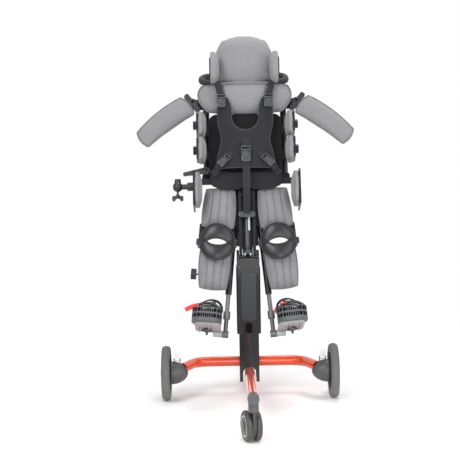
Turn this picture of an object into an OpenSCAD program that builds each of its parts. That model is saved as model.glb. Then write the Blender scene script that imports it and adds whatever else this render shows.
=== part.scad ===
// Standing frame for a child: a wheeled base with a telescopic column, a body frame
// that tilts on the column head, and padded supports for head, trunk, hips, knees and feet.
// Origin on the floor under the middle of the base, the user faces -Y, +Z is up.

/* [Base] */
// Outer diameter of the base tubes
tube_d = 38; // [36:0.5:40]
// Wall of the base tubes
tube_wall = 3; // [2:0.5:5]
// Distance of the crossbar and the column behind the side wheels' axle
crossbar_set = 105; // [98:1:112]
// Height of the crossbar's axis
crossbar_z = 117; // [112:0.5:120]
// Half of the crossbar's straight run
crossbar_half = 155; // [145:1:160]
// Radius of the crossbar's bends
crossbar_bend_r = 70; // [64:1:76]
// Angle of the crossbar's bends
crossbar_bend_angle = 65; // [62:1:68]
// Reach of the front caster stem ahead of the wheel axle
front_reach = 578; // [540:1:620]
// Reach of the rear caster stem behind the wheel axle
rear_reach = 530.5; // [500:0.5:570]
// Height of the leg tubes' axis at the column
leg_root_z = 81; // [78:0.5:82]
// Height of the leg tubes' axis at the caster stems
leg_end_z = 145; // [142:0.5:150]
// Length of the castings at the leg ends
leg_end_len = 44; // [38:1:50]
// Diameter of the caster stem sockets
socket_d = 34; // [30:1:36]

/* [Side wheels] */
// Tyre diameter
wheel_d = 200; // [196:1:204]
// Rim diameter
rim_d = 160; // [150:1:166]
// Tyre width
tyre_w = 30; // [26:1:34]
// Rim width
rim_w = 26; // [22:1:28]
// Distance of a wheel's middle plane from the centre
wheel_set = 309; // [304:1:316]
// Length of the wheel hub
wheel_hub_w = 29.2; // [28:0.2:34]
// Diameter of the wheel hub
wheel_hub_d = 40; // [32:1:46]
// Axle diameter
axle_d = 16; // [12:0.5:18]
// Number of holes in the wheel web
web_holes = 5; // [4:1:6]
// Diameter of the holes in the wheel web
web_hole_d = 22; // [16:1:26]
// Thickness of the wheel web
web_t = 6; // [4:0.5:8]

/* [Hub domes and brakes] */
// Radius of the hub domes
dome_r = 42; // [39:0.5:44]
// Length of the hub domes
dome_len = 61; // [56:1:64]
// Length of the collar between dome and wheel hub
dome_collar = 4.1; // [3:0.1:6]
// Length of the brake pedals
pedal_len = 34; // [26:1:40]
// Width of the brake pedals
pedal_w = 24; // [18:1:26]
// Thickness of the brake pedals
pedal_t = 6; // [4:0.5:8]
// Lean of the brake pedals toward the front
pedal_lean = 14; // [8:1:18]

/* [Casters] */
// Diameter of the caster wheels
caster_d = 100; // [96:1:104]
// Width of one caster wheel
caster_w = 19; // [18:0.5:24]
// Gap between the two wheels of a caster
caster_gap = 14; // [14:0.5:18]
// Trail of the caster axle behind its stem
caster_trail = 28; // [24:0.5:30]
// Diameter of the caster stem
stem_d = 12; // [10:0.5:12]
// Diameter of the caster axle
caster_axle_d = 10; // [8:0.5:12]
// Swivel of the front caster
caster_turn = 14; // [10:1:18]

/* [Column] */
// Width of the inner column
inner_w = 74; // [70:0.5:76]
// Wall of the inner column
inner_wall = 4; // [3:0.5:6]
// Foot of the inner column above the floor
inner_bottom = 45; // [40:1:50]
// Top of the inner column
inner_top = 400; // [380:1:420]
// Width of the arches over the leg tubes
arch_w = 50; // [46:1:54]
// Width of the outer column
outer_w = 90; // [87:0.5:94]
// Edge radius of the outer column
outer_edge = 6; // [3:0.5:7]
// Foot of the outer column
outer_bottom = 230; // [215:1:238]
// Top of the outer column
outer_top = 470; // [466:1:474]
// Width of the panel recess in the outer column
recess_w = 60; // [50:1:64]
// Depth of the panel recess
recess_deep = 3; // [1.5:0.5:4]
// Diameter of the lifting cylinder
lift_d = 28; // [24:1:36]
// Diameter of the lifting rod
lift_rod_d = 14; // [10:0.5:16]

/* [Tilt head] */
// Height of the tilt axis
pivot_z = 515; // [513:0.5:518]
// Lean of the body frame from upright
tilt_rest = 20; // [18:0.5:22]
// Diameter of the tilt pin
pivot_d = 12; // [10:0.5:14]
// Radius of the cheeks round the tilt pin
cheek_r = 26; // [22:0.5:28]
// Thickness of the cheeks
cheek_t = 9.5; // [7:0.5:12]
// Radius of the apron under the tilt axis
apron_r = 43; // [40:0.5:45]
// Diameter of the tilt strut's cylinder
strut_d = 22; // [18:0.5:23]
// Diameter of the tilt strut's rod
strut_rod_d = 10; // [8:0.5:12]

/* [Body frame] */
// Distance of each spine rail's middle from the centre
rail_set = 26; // [25.5:0.25:27]
// Thickness of a spine rail
rail_t = 11; // [9:0.5:12]
// Depth of a spine rail ahead of the tilt axis
rail_front = 36; // [34:0.5:38]
// Depth of a spine rail behind the tilt axis
rail_back = 10; // [8:0.5:12]
// Length of the spine rails
rail_len = 640; // [630:1:660]
// Diameter of the back hoop's tube
hoop_d = 25; // [20:0.5:28]
// Distance of the hoop's legs from the centre
hoop_set = 150; // [135:1:165]
// Height of the hoop's top run along the spine
hoop_top = 690; // [680:1:705]
// Bend radius of the hoop
hoop_bend = 45; // [35:1:55]
// Half width of the back plate
back_plate_half = 139; // [132:1:144]
// Lower end of the back plate along the spine
back_plate_low = 262; // [258:1:268]
// Upper end of the back plate along the spine
back_plate_high = 552; // [544:1:556]
// Thickness of the back plate
back_plate_t = 12; // [8:0.5:13]
// Half width of the push handle
handle_half = 181; // [165:1:195]
// Reach of the push handle behind its hinge
handle_reach = 150; // [135:1:170]
// Diameter of the push handle's grip
handle_d = 26; // [22:0.5:30]
// Rise of the push handle
handle_rise = 41; // [35:1:46]

/* [Head support] */
// Diameter of the headrest post
post_d = 22; // [18:0.5:23]
// Height of the head pad
head_tall = 200; // [185:1:210]
// Width of the head pad at its foot
head_low = 240; // [225:1:244]
// Width of the head pad at its top
head_high = 210; // [190:1:216]
// Lower edge of the head pad along the spine
head_low_s = 677; // [677:1:690]
// Distance of the head wings' plates from the centre
wing_set = 130; // [129:0.5:140]
// Height of the head wings
wing_tall = 122; // [110:1:130]
// Depth of the head wings
wing_deep = 78; // [65:1:90]

/* [Trunk support] */
// Width of the back pad at its foot
back_low = 330; // [310:1:340]
// Width of the back pad at its top
back_high = 394; // [370:1:400]
// Height of the back pad
back_tall = 122; // [112:1:126]
// Distance of the chest pads' plates from the centre
chest_set = 179; // [172:0.5:184]
// Height of the upper chest pads along the spine
chest_upper_s = 490; // [489:0.5:494]
// Height of the lower chest pads along the spine
chest_lower_s = 390; // [386:0.5:391]
// Height of a chest pad
chest_tall = 96; // [84:1:98]
// Depth of a chest pad
chest_deep = 96; // [80:1:100]
// Distance of the hip pads' plates from the centre
hip_set = 193; // [188:0.5:200]
// Height of the hip pads along the spine
hip_s = 233; // [228:0.5:236]
// Height of a hip pad
hip_tall = 132; // [110:1:134]
// Depth of a hip pad
hip_deep = 100; // [85:1:106]

/* [Arm supports] */
// Distance of an arm hinge from the centre
arm_set = 200; // [196:0.5:208]
// Height of an arm hinge along the spine
arm_s = 612; // [606:0.5:618]
// Length of an arm pad
arm_len = 244; // [225:1:252]
// Width of an arm pad at its inner end
arm_wide = 82; // [70:1:86]
// Width of an arm pad at its tip
arm_narrow = 70; // [55:1:80]
// Slope of the arm pads from the spine
arm_slope = 51.8; // [48:0.2:56]

/* [Harness] */
// Half width of the vest
vest_half = 105; // [98:1:110]
// Lower edge of the vest along the spine
vest_low = 322; // [315:1:332]
// Upper end of the vest's shoulder straps
vest_high = 605; // [595:1:612]
// Thickness of the vest
vest_t = 12; // [8:0.5:13]
// Width of the webbing
webbing_w = 25; // [20:0.5:30]
// Thickness of the webbing
webbing_t = 3; // [2:0.5:4]
// Height of the hip belt
belt_tall = 50; // [40:1:55]

/* [Legs] */
// Distance of the leg hinges from the centre
leg_set = 50; // [49:0.25:54]
// Height of the leg hinges along the spine
leg_s = 125; // [122:0.5:130]
// Spread of each leg from the centre plane
leg_spread = 5.4; // [5:0.1:6.5]
// Outer diameter of the leg rail
leg_rail_d = 24; // [22:0.5:26]
// Length of the leg rail below its hinge
leg_rail_len = 270; // [262:1:280]
// Height of a thigh pad
thigh_tall = 160; // [145:1:164]
// Width of a thigh pad at the knee
thigh_low = 132; // [120:1:136]
// Width of a thigh pad at the hip
thigh_high = 120; // [100:1:126]
// Height of a calf pad
calf_tall = 155; // [140:1:160]
// Width of a calf pad at the ankle
calf_low = 110; // [96:1:120]
// Width of a calf pad at the knee
calf_high = 127; // [110:1:132]
// Sewn channels across a leg pad
leg_channels = 4; // [3:1:5]
// Half width of a knee cup
knee_half = 68; // [62:0.5:72]
// Half height of a knee cup
knee_tall_half = 70; // [60:0.5:76]

/* [Feet] */
// Diameter of the foot rod
foot_rod_d = 16; // [14:0.5:18]
// Length of the foot rod
foot_rod_len = 240; // [232:1:250]
// Width of the footplate
footplate_w = 94; // [84:1:102]
// Length of the footplate
footplate_len = 175; // [160:1:186]
// Thickness of the footplate
footplate_t = 8; // [6:0.5:10]
// Length of the sandal
sandal_len = 215; // [200:1:225]
// Width of the sandal
sandal_w = 108; // [98:1:114]
// Height of the sandal's walls
sandal_tall = 50; // [42:1:60]
// Thickness of the sandal's walls
sandal_wall = 5; // [4:0.5:7]
// Slots in the sandal's toe wall
toe_slots = 6; // [5:1:7]

/* [Hidden] */
$fn = 48;

// Finishes
orange = "#f05528";
black = "#3c3c3e";
grey_fabric = "#a0a0a2";
dark_grey = "#4b4e50";
silver = "#b9b9b9";
charcoal = "#3c3c44";
white = "#e8e8e6";
rubber_grey = "#69696c";

// Clearances shared by all pieces
overrun = 1;
seat_gap = 0.3;
run_gap = 0.05;

// Base, derived and small sizes
axle_z = wheel_d / 2;
column_y = crossbar_set;
bend_rest = 90 - crossbar_bend_angle;
bend_x = crossbar_half + crossbar_bend_r * cos(bend_rest);
bend_y = crossbar_set - crossbar_bend_r + crossbar_bend_r * sin(bend_rest);
crossbar_run = bend_y / sin(crossbar_bend_angle);
tube_bore = tube_d + 2 * seat_gap;
leg_root_gap = 20;
front_root_y = crossbar_set - leg_root_gap;
rear_root_y = crossbar_set + leg_root_gap;
front_slope = atan((leg_end_z - leg_root_z) / (front_reach + front_root_y));
rear_slope = atan((leg_end_z - leg_root_z) / (rear_reach - rear_root_y));
column_face = inner_w / 2;
function arch_top(slope) = leg_root_z + tan(slope) * (column_face - leg_root_gap)
  + tube_d / 2 / cos(slope) + seat_gap;
arch_corner = arch_w / 2 - run_gap;
lift_base = crossbar_z + tube_d / 2 + seat_gap;
lift_cylinder_len = 205;
lift_floor = 15;
lift_rod_foot = 190;
lift_wall_screw_d = 7;
lift_wall_screw_h = 2.5;
column_screw_shares = [0.07, 0.13, 0.185, 0.305];
column_screw_inset = 16;
recess_low = 46;
recess_high = 10;
notch_w = 33;
notch_h = 40;

// Wheels and hub domes
rim_ring_t = 10;
web_hole_set = 45;
tyre_seat = 0.2;
tyre_crown = 6;
dome_flat_x = wheel_set - wheel_hub_w / 2 - seat_gap - dome_collar;
dome_collar_d = 34;
axle_head_d = 30;
axle_head_t = 6;
ear_t = 3;
pedal_hub_d = 13;
pedal_pin_d = 6;
pedal_lift = 0.6;
pedal_pin_z = axle_z + dome_r + pedal_hub_d / 2 + pedal_lift;
pedal_ear_set = 34;
pedal_ear_in = dome_flat_x - pedal_ear_set;
pedal_hub_len = 19;
pedal_play = 0.5;
pedal_root = 4;
ear_root = 12;

// Casters
caster_axle_z = caster_d / 2;
hood_r = 40;
hood_play = 1;
hood_half = caster_gap / 2 - hood_play;
hood_low = 6;
flange_d = 32;
socket_low = 104;
flange_t = 3.1;
flange_low = socket_low - seat_gap - flange_t;
stem_top = 135;
tread_round = 8;
caster_ring_d = 74;
caster_ring_in = 58;
caster_ring_deep = 3;
caster_cap_d = 26;
caster_cap_h = 1.5;

// Tilt head
head_base_t = 10;
cheek_play = 1;
cheek_in = rail_set + rail_t / 2 + cheek_play;
cheek_out = cheek_in + cheek_t;
cheek_front = 50;
cheek_back = 26;
strut_pin_d = 8;
strut_pin_set = 21.2;
strut_ear_in = 12;
strut_ear_t = 7;
strut_ear_r = 9;
strut_web_front = 35;
strut_web_back = 13;
apron_t = 7;
strut_y = 26;
strut_eye_s = 12.7;
strut_eye_d = 26;
strut_eye_hole = 18;
strut_eye_w = 16;
strut_neck_d = 14;
strut_low = 32;
strut_high = 165;
strut_bore_low = 60;
strut_rod_low = 105;
strut_top_s = 236;
strut_top_d = 10;
strut_top_eye = 22;
strut_cap_d = 24;
strut_cap_len = 12;

// Body frame
rail_nose = 20;
rail_edge = 8;
rail_slot_w = 12;
rail_slot_len = 60;
rail_slot_shares = [0.47, 0.62, 0.75];
cross_s_list = [150, 300, 520];
cross_tall = 24;
cross_reach = 0.5;
hip_plate_half = 66;
hip_plate_tall = 36;
hip_plate_t = 8;
leg_pin_d = 10;
leg_pin_reach = 13;
yoke_t = 8;
yoke_low_half = 168;
yoke_low_s = 295;
yoke_low_tall = 35;
yoke_high_half = 218;
yoke_high_s = 592;
yoke_high_tall = 42;
yoke_corner = 10;
arm_pin_d = 12;
arm_pin_reach = 22;
post_y = 14;
head_block_front = 30;
head_block_back = 2;
head_block_low = 600;
hoop_low = 300;
hoop_wall = 2;
hoop_y = rail_back + seat_gap + hoop_d / 2;
plate_back = rail_front + seat_gap;
plate_front = plate_back + back_plate_t;
plate_corner = 30;
slot_w = 34;
slot_h = 7;
slot_set = 92;
slot_s_list = [322, 470, 530];
lever_x = 150;
lever_s = 326;
lever_lug_r = 11;
lever_pin_d = 8;
lever_gap = 0.5;
lever_t = 10.2;
lever_reach = 82;
lever_drop = 14;
lever_tip_r = 7;
lever_root_r = 13;
lever_waist_share = 0.96;
handle_start = 45;
handle_bend = 34;
handle_collar_set = 70;
handle_collar_w = 24;
handle_collar_d = 36;
handle_collar_play = 0.1;
handle_arm_d = 18;

// Padding shapes
pad_across = 10;
pad_up = 8;
pad_front_share = 0.93;
pad_back_share = 0.96;
pad_round_share = 0.5;

// Head, trunk and arm supports
post_low = 560;
post_high = 790;
head_plate_half = 80;
head_plate_low = 700;
head_plate_high = 830;
head_plate_front = 31;
head_plate_back = 22;
head_edge = 25;
head_crown = 25;
wing_t = 3.7;
wing_s = 722;
wing_y = 104;
wing_bar_tall = 18;
wing_plate_tall = 66;
wing_plate_deep = 62;
wing_edge = 13;
wing_crown = 10;
back_edge = 22;
back_crown = 20;
back_pad_low = back_plate_high + seat_gap;
tongue_in = 60;
tongue_tall = 36;
tongue_t = 6;
tongue_front = plate_back - seat_gap;
side_plate_t = 6;
chest_plate_deep = 120;
chest_plate_root = 32;
chest_y = 101;
chest_edge = 18;
chest_crown = 11;
chest_knob_d = 34;
chest_knob_t = 13;
knob_rib_count = 10;
knob_rib_d = 4;
hip_tongue_in = 70;
hip_tongue_low = 275;
hip_tongue_tall = 24;
hip_plate_low = 166;
hip_plate_deep = 128;
hip_y = 108;
hip_edge = 16;
hip_crown = 10;
arm_boss_d = 34;
arm_boss_front = 19.5;
arm_blade_t = 7.5;
arm_blade_len = 120;
arm_blade_w = 40;
arm_collar_t = 20;
arm_collar_deep = 34;
arm_pad_in = 15;
arm_edge = 20;
arm_crown = 10;
arm_bend = 8;

// Harness
vest_curve_r = 500;
vest_front = 103;
vest_waist = 470;
vest_scoop_s = 522;
vest_scoop_r = 52;
vest_strap_in = 52;
vest_corner = 22;
belt_t = 13.8;
belt_s = 265;
belt_half = 135;
belt_lobe_x = 66;
belt_lobe_half = 52;
belt_lobe_drop = 17;
belt_lobe_r = 20;
shoulder_x = 95;
shoulder_low = 600;
shoulder_run_back = 40;
buckle_w = 36;
buckle_h = 30;
buckle_t = 9;
buckle_edge = 5;
side_web_in = 90;
side_web_out = 126;
side_web_high = 345;
side_web_low = 302;
crotch_w = 28;
crotch_low = 215;
crotch_high = 430;
centre_buckle_w = 35;
centre_buckle_h = 60;
centre_buckle_s = 340;

// Clamp on the left hip bracket
clamp_s = 250;
clamp_y = 95;
clamp_block_len = 22;
clamp_block = 30;
clamp_arm_d = 20;
clamp_ball_d = 38;
clamp_ball_set = 58;
clamp_bore_d = 16;
clamp_bore_len = 26;
clamp_cap_d = 24;
clamp_cap_h = 9;
wing_screw_d = 8;
wing_screw_len = 22;
wing_screw_sink = 8;
wing_half = 21;
wing_h = 20;
wing_screw_t = 6;
wing_hub_d = 15;

// Legs
leg_boss_d = 28;
leg_boss_front = 12;
leg_rail_up = 14;
leg_bore_low = 100;
carrier_in = 4;
carrier_t = 6;
carrier_front = 22;
thigh_carrier_w = 108;
thigh_carrier_low = -22;
thigh_carrier_high = 122;
calf_carrier_w = 104;
calf_carrier_low = -258;
calf_carrier_high = -130;
carrier_corner = 14;
carrier_slot_w = 40;
carrier_slot_h = 12;
knee_z = -93;
knee_x = 55;
knee_arm_tall = 24;
knee_arm_t = 6;
knee_arm_in = 14;
knee_arm_out = 122;
knee_arm_front = 68.4;
knee_arm_top = -10;
leg_edge = 20;
leg_crown = 25;
leg_groove = 6;
thigh_z = 50;
calf_z = -187;
leg_pad_x = 59;
knee_t = 22;
knee_front = 108;
knee_sag = 22;
knee_hole_half = 35;
knee_hole_tall = 11;
knee_steps = 28;
knee_sides = 8;
knee_seat = knee_arm_front + seat_gap;
knee_buckle_w = 14;
knee_strap_tall = 22;
knee_strap_t = 4;
knob_shaft_d = 6;
calf_knob_d = 41;
calf_knob_w = 20;
calf_knob_z = -205;
calf_knob_x = 124.5;

// Feet
foot_rod_top = -170;
foot_collar_d = 26;
foot_collar_z = -363;
foot_collar_h = 28;
ankle_drop = 10;
ankle_z = foot_rod_top - foot_rod_len - ankle_drop;
ankle_d = 26;
ankle_half = 12;
ankle_pin_d = 10;
ankle_pin_len = 34;
foot_boss_d = 24;
foot_boss_gap = 1;
foot_boss_len = 32;
footplate_in = 16;
footplate_heel = 25;
footplate_corner = 20;
foot_knob_d = 22;
foot_knob_h = 12;
foot_knob_x = 66;
foot_knob_y = 62;
footplate_rib_t = 4;
footplate_rib_h = 6;
sandal_heel = 32;
sandal_sole = 10;
sandal_in = 13.5;
sandal_toe_r = 44;
sandal_heel_r = 34;
sandal_arch_low = 24;
slot_share = 0.7;
toe_slot_tall_share = 0.7;
toe_rows = 2;
strap_w = 30;
strap_t = 3;
strap_rise = 26;
strap_places = [42, 104];
head_round_share = 0.75;
arm_round_share = 0.35;
leg_round_share = 0.3;
plate_share = 0.8;
wing_hub_share = 0.5;
carrier_slot_shares = [0.3, 0.7];
carrier_middle_share = 0.62;
rib_share = 0.2;
leg_bore_gap = 0.1;
knee_arm_start = 100;
knee_strap_lap = 4;
knee_web_t = 3;
knee_web_tall = 16;
footplate_rib_shares = [0.45, 0.85];
sandal_waist_share = 0.5;
sandal_arch_len = 45;
toe_corner_share = 0.7;
strap_lap = 2;

// Flat outline with round corners, centred
module rounded_rect(w, h, r) {
  square([w - 2 * r, h], center = true);
  square([w, h - 2 * r], center = true);
  for (x = [-1, 1], y = [-1, 1])
    translate([x * (w / 2 - r), y * (h / 2 - r)])
      circle(r);
}

// Flat outline with round corners between two opposite corners
module rect_between(x0, y0, x1, y1, r) {
  translate([(x0 + x1) / 2, (y0 + y1) / 2])
    rounded_rect(x1 - x0, y1 - y0, r);
}

// Outline drawn in x and z, raised along y from the front face to the back face
module slab(front, back) {
  translate([0, back, 0])
    rotate([90, 0, 0])
      linear_extrude(back - front)
        children();
}

// Outline drawn in y and z, raised along x
module across(x0, x1) {
  translate([x0, 0, 0])
    rotate([90, 0, 90])
      linear_extrude(x1 - x0)
        children();
}

module rod_x(d, x0, x1) {
  translate([x0, 0, 0])
    rotate([0, 90, 0])
      cylinder(d = d, h = x1 - x0);
}

module rod_y(d, y0, y1) {
  translate([0, y0, 0])
    rotate([-90, 0, 0])
      cylinder(d = d, h = y1 - y0);
}

module rod_z(d, z0, z1) {
  translate([0, 0, z0])
    cylinder(d = d, h = z1 - z0);
}

// Frame of one side: the right side as drawn, the left side mirrored
module on_side(side) {
  if (side < 0)
    mirror([1, 0, 0])
      children();
  else
    children();
}

// Frame of the tilting body: x across, y to the back, z along the spine
module on_body() {
  translate([0, crossbar_set, pivot_z])
    rotate([-tilt_rest, 0, 0])
      children();
}

// Frame of one leg: x outward, z up the leg, from the leg hinge
module on_leg(side) {
  on_body()
    on_side(side)
      translate([leg_set, 0, leg_s])
        rotate([0, -leg_spread, 0])
          children();
}

// Frame of one caster: its stem on the z axis, the axle behind it
module on_caster(reach, turn) {
  translate([0, reach, 0])
    rotate([0, 0, turn])
      children();
}

// Knob with finger ribs round its rim, along z from zero
module ribbed_knob(d, h) {
  cylinder(d = d - knob_rib_d, h = h);
  for (i = [0 : knob_rib_count - 1])
    rotate([0, 0, i * 360 / knob_rib_count])
      translate([(d - knob_rib_d) / 2, 0, 0])
        cylinder(d = knob_rib_d, h = h, $fn = 24);
}

// Cushion: a rounded plan, a flat back on y = 0, drawn-in rims and a crowned front.
// The crown is the product of a curve across and one along; channels are sewn across it.
function pad_half(v, low, high) = (low + (high - low) * (v + 1) / 2) / 2;
function pad_plan(u, v, low, high, tall, round_share, bend) = [
  u * sqrt(1 - round_share * v * v / 2) * pad_half(v, low, high) + bend * (1 - v * v),
  v * sqrt(1 - round_share * u * u / 2) * tall / 2];
function pad_dip(u, channels, groove) =
  channels == 0 || abs(u) > 0.999 ? 0
  : groove * (1 - sqrt(abs(sin(180 * channels * (u + 1) / 2))));
function pad_rim(n, m) = concat(
  [for (i = [0 : n - 1]) [-1 + 2 * i / n, -1]],
  [for (j = [0 : m - 1]) [1, -1 + 2 * j / m]],
  [for (i = [0 : n - 1]) [1 - 2 * i / n, 1]],
  [for (j = [0 : m - 1]) [-1, 1 - 2 * j / m]]);
function pad_rim_index(k, n, m) =
  k < n ? k
  : k < n + m ? (k - n) * (n + 1) + n
  : k < 2 * n + m ? m * (n + 1) + 2 * n + m - k
  : (2 * n + 2 * m - k) * (n + 1);

module cushion(low, high, tall, edge, crown, round_share = pad_round_share, channels = 0,
    groove = 0, bend = 0, n = pad_across, m = pad_up) {
  rim = pad_rim(n, m);
  rings = len(rim);
  front = [for (j = [0 : m], i = [0 : n])
    let (u = -1 + 2 * i / n, v = -1 + 2 * j / m)
    let (p = pad_plan(u, v, low, high, tall, round_share, bend) * pad_front_share)
    [p[0], -edge - crown * (1 - pow(u, 4)) * (1 - pow(v, 4)) + pad_dip(u, channels, groove), p[1]]];
  middle = [for (r = rim)
    let (p = pad_plan(r[0], r[1], low, high, tall, round_share, bend))
    [p[0], -edge / 2, p[1]]];
  back = [for (r = rim)
    let (p = pad_plan(r[0], r[1], low, high, tall, round_share, bend) * pad_back_share)
    [p[0], 0, p[1]]];
  base = (n + 1) * (m + 1);
  points = concat(front, middle, back, [[bend, 0, 0]]);
  faces = concat(
    [for (j = [0 : m - 1], i = [0 : n - 1], half = [0, 1])
      let (a = j * (n + 1) + i)
      half == 0 ? [a, a + n + 2, a + 1] : [a, a + n + 1, a + n + 2]],
    [for (k = [0 : rings - 1], half = [0, 1])
      let (next = (k + 1) % rings)
      let (p = pad_rim_index(k, n, m), q = pad_rim_index(next, n, m))
      half == 0 ? [p, q, base + next] : [p, base + next, base + k]],
    [for (k = [0 : rings - 1], half = [0, 1])
      let (next = (k + 1) % rings)
      half == 0 ? [base + k, base + next, base + rings + next]
      : [base + k, base + rings + next, base + rings + k]],
    [for (k = [0 : rings - 1])
      let (next = (k + 1) % rings)
      [base + 2 * rings, base + rings + k, base + rings + next]]);
  polyhedron(points, faces);
}

// Centre line of the crossbar as a solid of diameter d
module crossbar_path(d) {
  translate([0, crossbar_set, crossbar_z])
    rod_x(d, -crossbar_half, crossbar_half);
  for (side = [-1, 1])
    on_side(side) {
      translate([crossbar_half, crossbar_set - crossbar_bend_r, crossbar_z])
        rotate([0, 0, bend_rest])
          rotate_extrude(angle = crossbar_bend_angle)
            translate([crossbar_bend_r, 0])
              circle(d = d);
      translate([bend_x, bend_y, crossbar_z])
        rotate([0, 0, -crossbar_bend_angle])
          rod_x(d, 0, crossbar_run);
    }
}

module crossbar() {
  color(orange)
    difference() {
      crossbar_path(tube_d);
      crossbar_path(tube_d - 2 * tube_wall);
    }
}

// One leg along +y from its root at the origin, on its slope
module leg_tube(run, slope) {
  rotate([slope, 0, 0])
    difference() {
      rod_y(tube_d, 0, run / cos(slope) - leg_end_len / 2 - seat_gap);
      rod_y(tube_d - 2 * tube_wall, -overrun, run / cos(slope));
    }
}

module base_legs() {
  color(orange) {
    translate([0, front_root_y, leg_root_z])
      mirror([0, 1, 0])
        leg_tube(front_reach + front_root_y, front_slope);
    translate([0, rear_root_y, leg_root_z])
      leg_tube(rear_reach - rear_root_y, rear_slope);
  }
}

// End casting round a caster stem, drawn for a leg that runs along +y
module leg_end(slope) {
  difference() {
    union() {
      translate([0, 0, leg_end_z])
        rotate([slope, 0, 0])
          rod_y(tube_d, -leg_end_len / 2, leg_end_len / 2);
      rod_z(socket_d, socket_low, leg_end_z);
    }
    rod_z(stem_d + 2 * run_gap, socket_low - overrun, stem_top + overrun);
  }
}

module leg_ends() {
  color(dark_grey) {
    translate([0, -front_reach, 0])
      mirror([0, 1, 0])
        leg_end(front_slope);
    translate([0, rear_reach, 0])
      leg_end(rear_slope);
  }
}

module inner_column() {
  color(black)
    difference() {
      translate([0, column_y, inner_bottom])
        linear_extrude(inner_top - inner_bottom)
          difference() {
            rounded_rect(inner_w, inner_w, inner_wall);
            square(inner_w - 2 * inner_wall, center = true);
          }
      crossbar_path(tube_bore);
      for (y = [-column_face, 0])
        slab(column_y + y - overrun, column_y + y + column_face + overrun)
          rect_between(-arch_w / 2, inner_bottom - 2 * arch_corner, arch_w / 2,
            arch_top(y < 0 ? front_slope : rear_slope), arch_corner);
    }
}

module lift_cylinder() {
  color(dark_grey)
    translate([0, column_y, 0])
      difference() {
        rod_z(lift_d, lift_base, lift_base + lift_cylinder_len);
        rod_z(lift_rod_d + 2 * run_gap, lift_base + lift_floor,
          lift_base + lift_cylinder_len + overrun);
      }
}

module lift_rod() {
  color(silver)
    translate([0, column_y, 0])
      rod_z(lift_rod_d, lift_rod_foot, outer_top - seat_gap);
}

// One hub dome with its collar, axle, axle head and the ears of the brake pedal
module hub_dome() {
  difference() {
    union() {
      translate([dome_flat_x, 0, axle_z])
        rotate([0, -90, 0])
          rotate_extrude()
            intersection() {
              scale_oval(dome_r, dome_len);
              square([dome_r, dome_len]);
            }
      translate([0, 0, axle_z])
        rod_x(dome_collar_d, dome_flat_x - overrun, dome_flat_x + dome_collar);
      for (x = [pedal_ear_in, pedal_ear_in + ear_t + pedal_hub_len + 2 * pedal_play])
        across(x, x + ear_t) {
          translate([0, pedal_pin_z])
            circle(d = pedal_hub_d);
          translate([-pedal_hub_d / 2, pedal_pin_z - pedal_hub_d / 2 - ear_root])
            square([pedal_hub_d, pedal_hub_d / 2 + ear_root]);
        }
      translate([0, 0, pedal_pin_z])
        rod_x(pedal_pin_d, pedal_ear_in, pedal_ear_in + 2 * ear_t + pedal_hub_len + 2 * pedal_play);
    }
    crossbar_path(tube_bore);
  }
  translate([0, 0, axle_z]) {
    rod_x(axle_d, dome_flat_x + dome_collar, wheel_set + wheel_hub_w / 2 + seat_gap);
    rod_x(axle_head_d, wheel_set + wheel_hub_w / 2 + seat_gap,
      wheel_set + wheel_hub_w / 2 + seat_gap + axle_head_t);
  }
}

// Oval outline of the dome, from points on its curve
module scale_oval(r, length) {
  polygon(concat([[0, 0]], [for (i = [0 : 24]) [r * cos(i * 90 / 24), length * sin(i * 90 / 24)]]));
}

module hub_domes() {
  color(dark_grey)
    for (side = [-1, 1])
      on_side(side)
        hub_dome();
}

module rim(side) {
  color(dark_grey)
    on_side(side)
      translate([wheel_set, 0, axle_z])
        rotate([0, 90, 0])
          difference() {
            rotate_extrude()
              difference() {
                union() {
                  translate([0, -wheel_hub_w / 2])
                    square([wheel_hub_d / 2, wheel_hub_w]);
                  translate([0, -web_t / 2])
                    square([rim_d / 2 - rim_ring_t / 2, web_t]);
                  translate([rim_d / 2 - rim_ring_t, -rim_w / 2])
                    square([rim_ring_t, rim_w]);
                }
                translate([-overrun, -wheel_hub_w / 2 - overrun])
                  square([axle_d / 2 + run_gap + overrun, wheel_hub_w + 2 * overrun]);
              }
            for (i = [0 : web_holes - 1])
              rotate([0, 0, i * 360 / web_holes])
                translate([web_hole_set, 0, -web_t])
                  cylinder(d = web_hole_d, h = 2 * web_t);
          }
}

module tyre(side) {
  color(rubber_grey)
    on_side(side)
      translate([wheel_set, 0, axle_z])
        rotate([0, 90, 0])
          rotate_extrude($fn = 96)
            intersection() {
              translate([rim_d / 2 + tyre_seat, -tyre_w / 2])
                square([wheel_d / 2 - rim_d / 2 - tyre_seat, tyre_w]);
              translate([wheel_d / 2 - tyre_w / 2 - tyre_crown, 0])
                circle(r = tyre_w / 2 + tyre_crown);
            }
}

module brake_pedal(side) {
  color(white)
    on_side(side)
      translate([pedal_ear_in + ear_t + pedal_play, 0, pedal_pin_z])
        difference() {
          union() {
            rod_x(pedal_hub_d, 0, pedal_hub_len);
            rotate([pedal_lean, 0, 0]) {
              slab(-pedal_t / 2, pedal_t / 2)
                rect_between(pedal_root / 2, 0, pedal_hub_len - pedal_root / 2,
                  pedal_len / 2, pedal_root / 2);
              slab(-pedal_t / 2, pedal_t / 2)
                rect_between(pedal_hub_len / 2 - pedal_w / 2, pedal_len * pad_round_share,
                  pedal_hub_len / 2 + pedal_w / 2, pedal_len, pedal_root);
            }
          }
          rod_x(pedal_pin_d + 2 * run_gap, -overrun, pedal_hub_len + overrun);
        }
}

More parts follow.
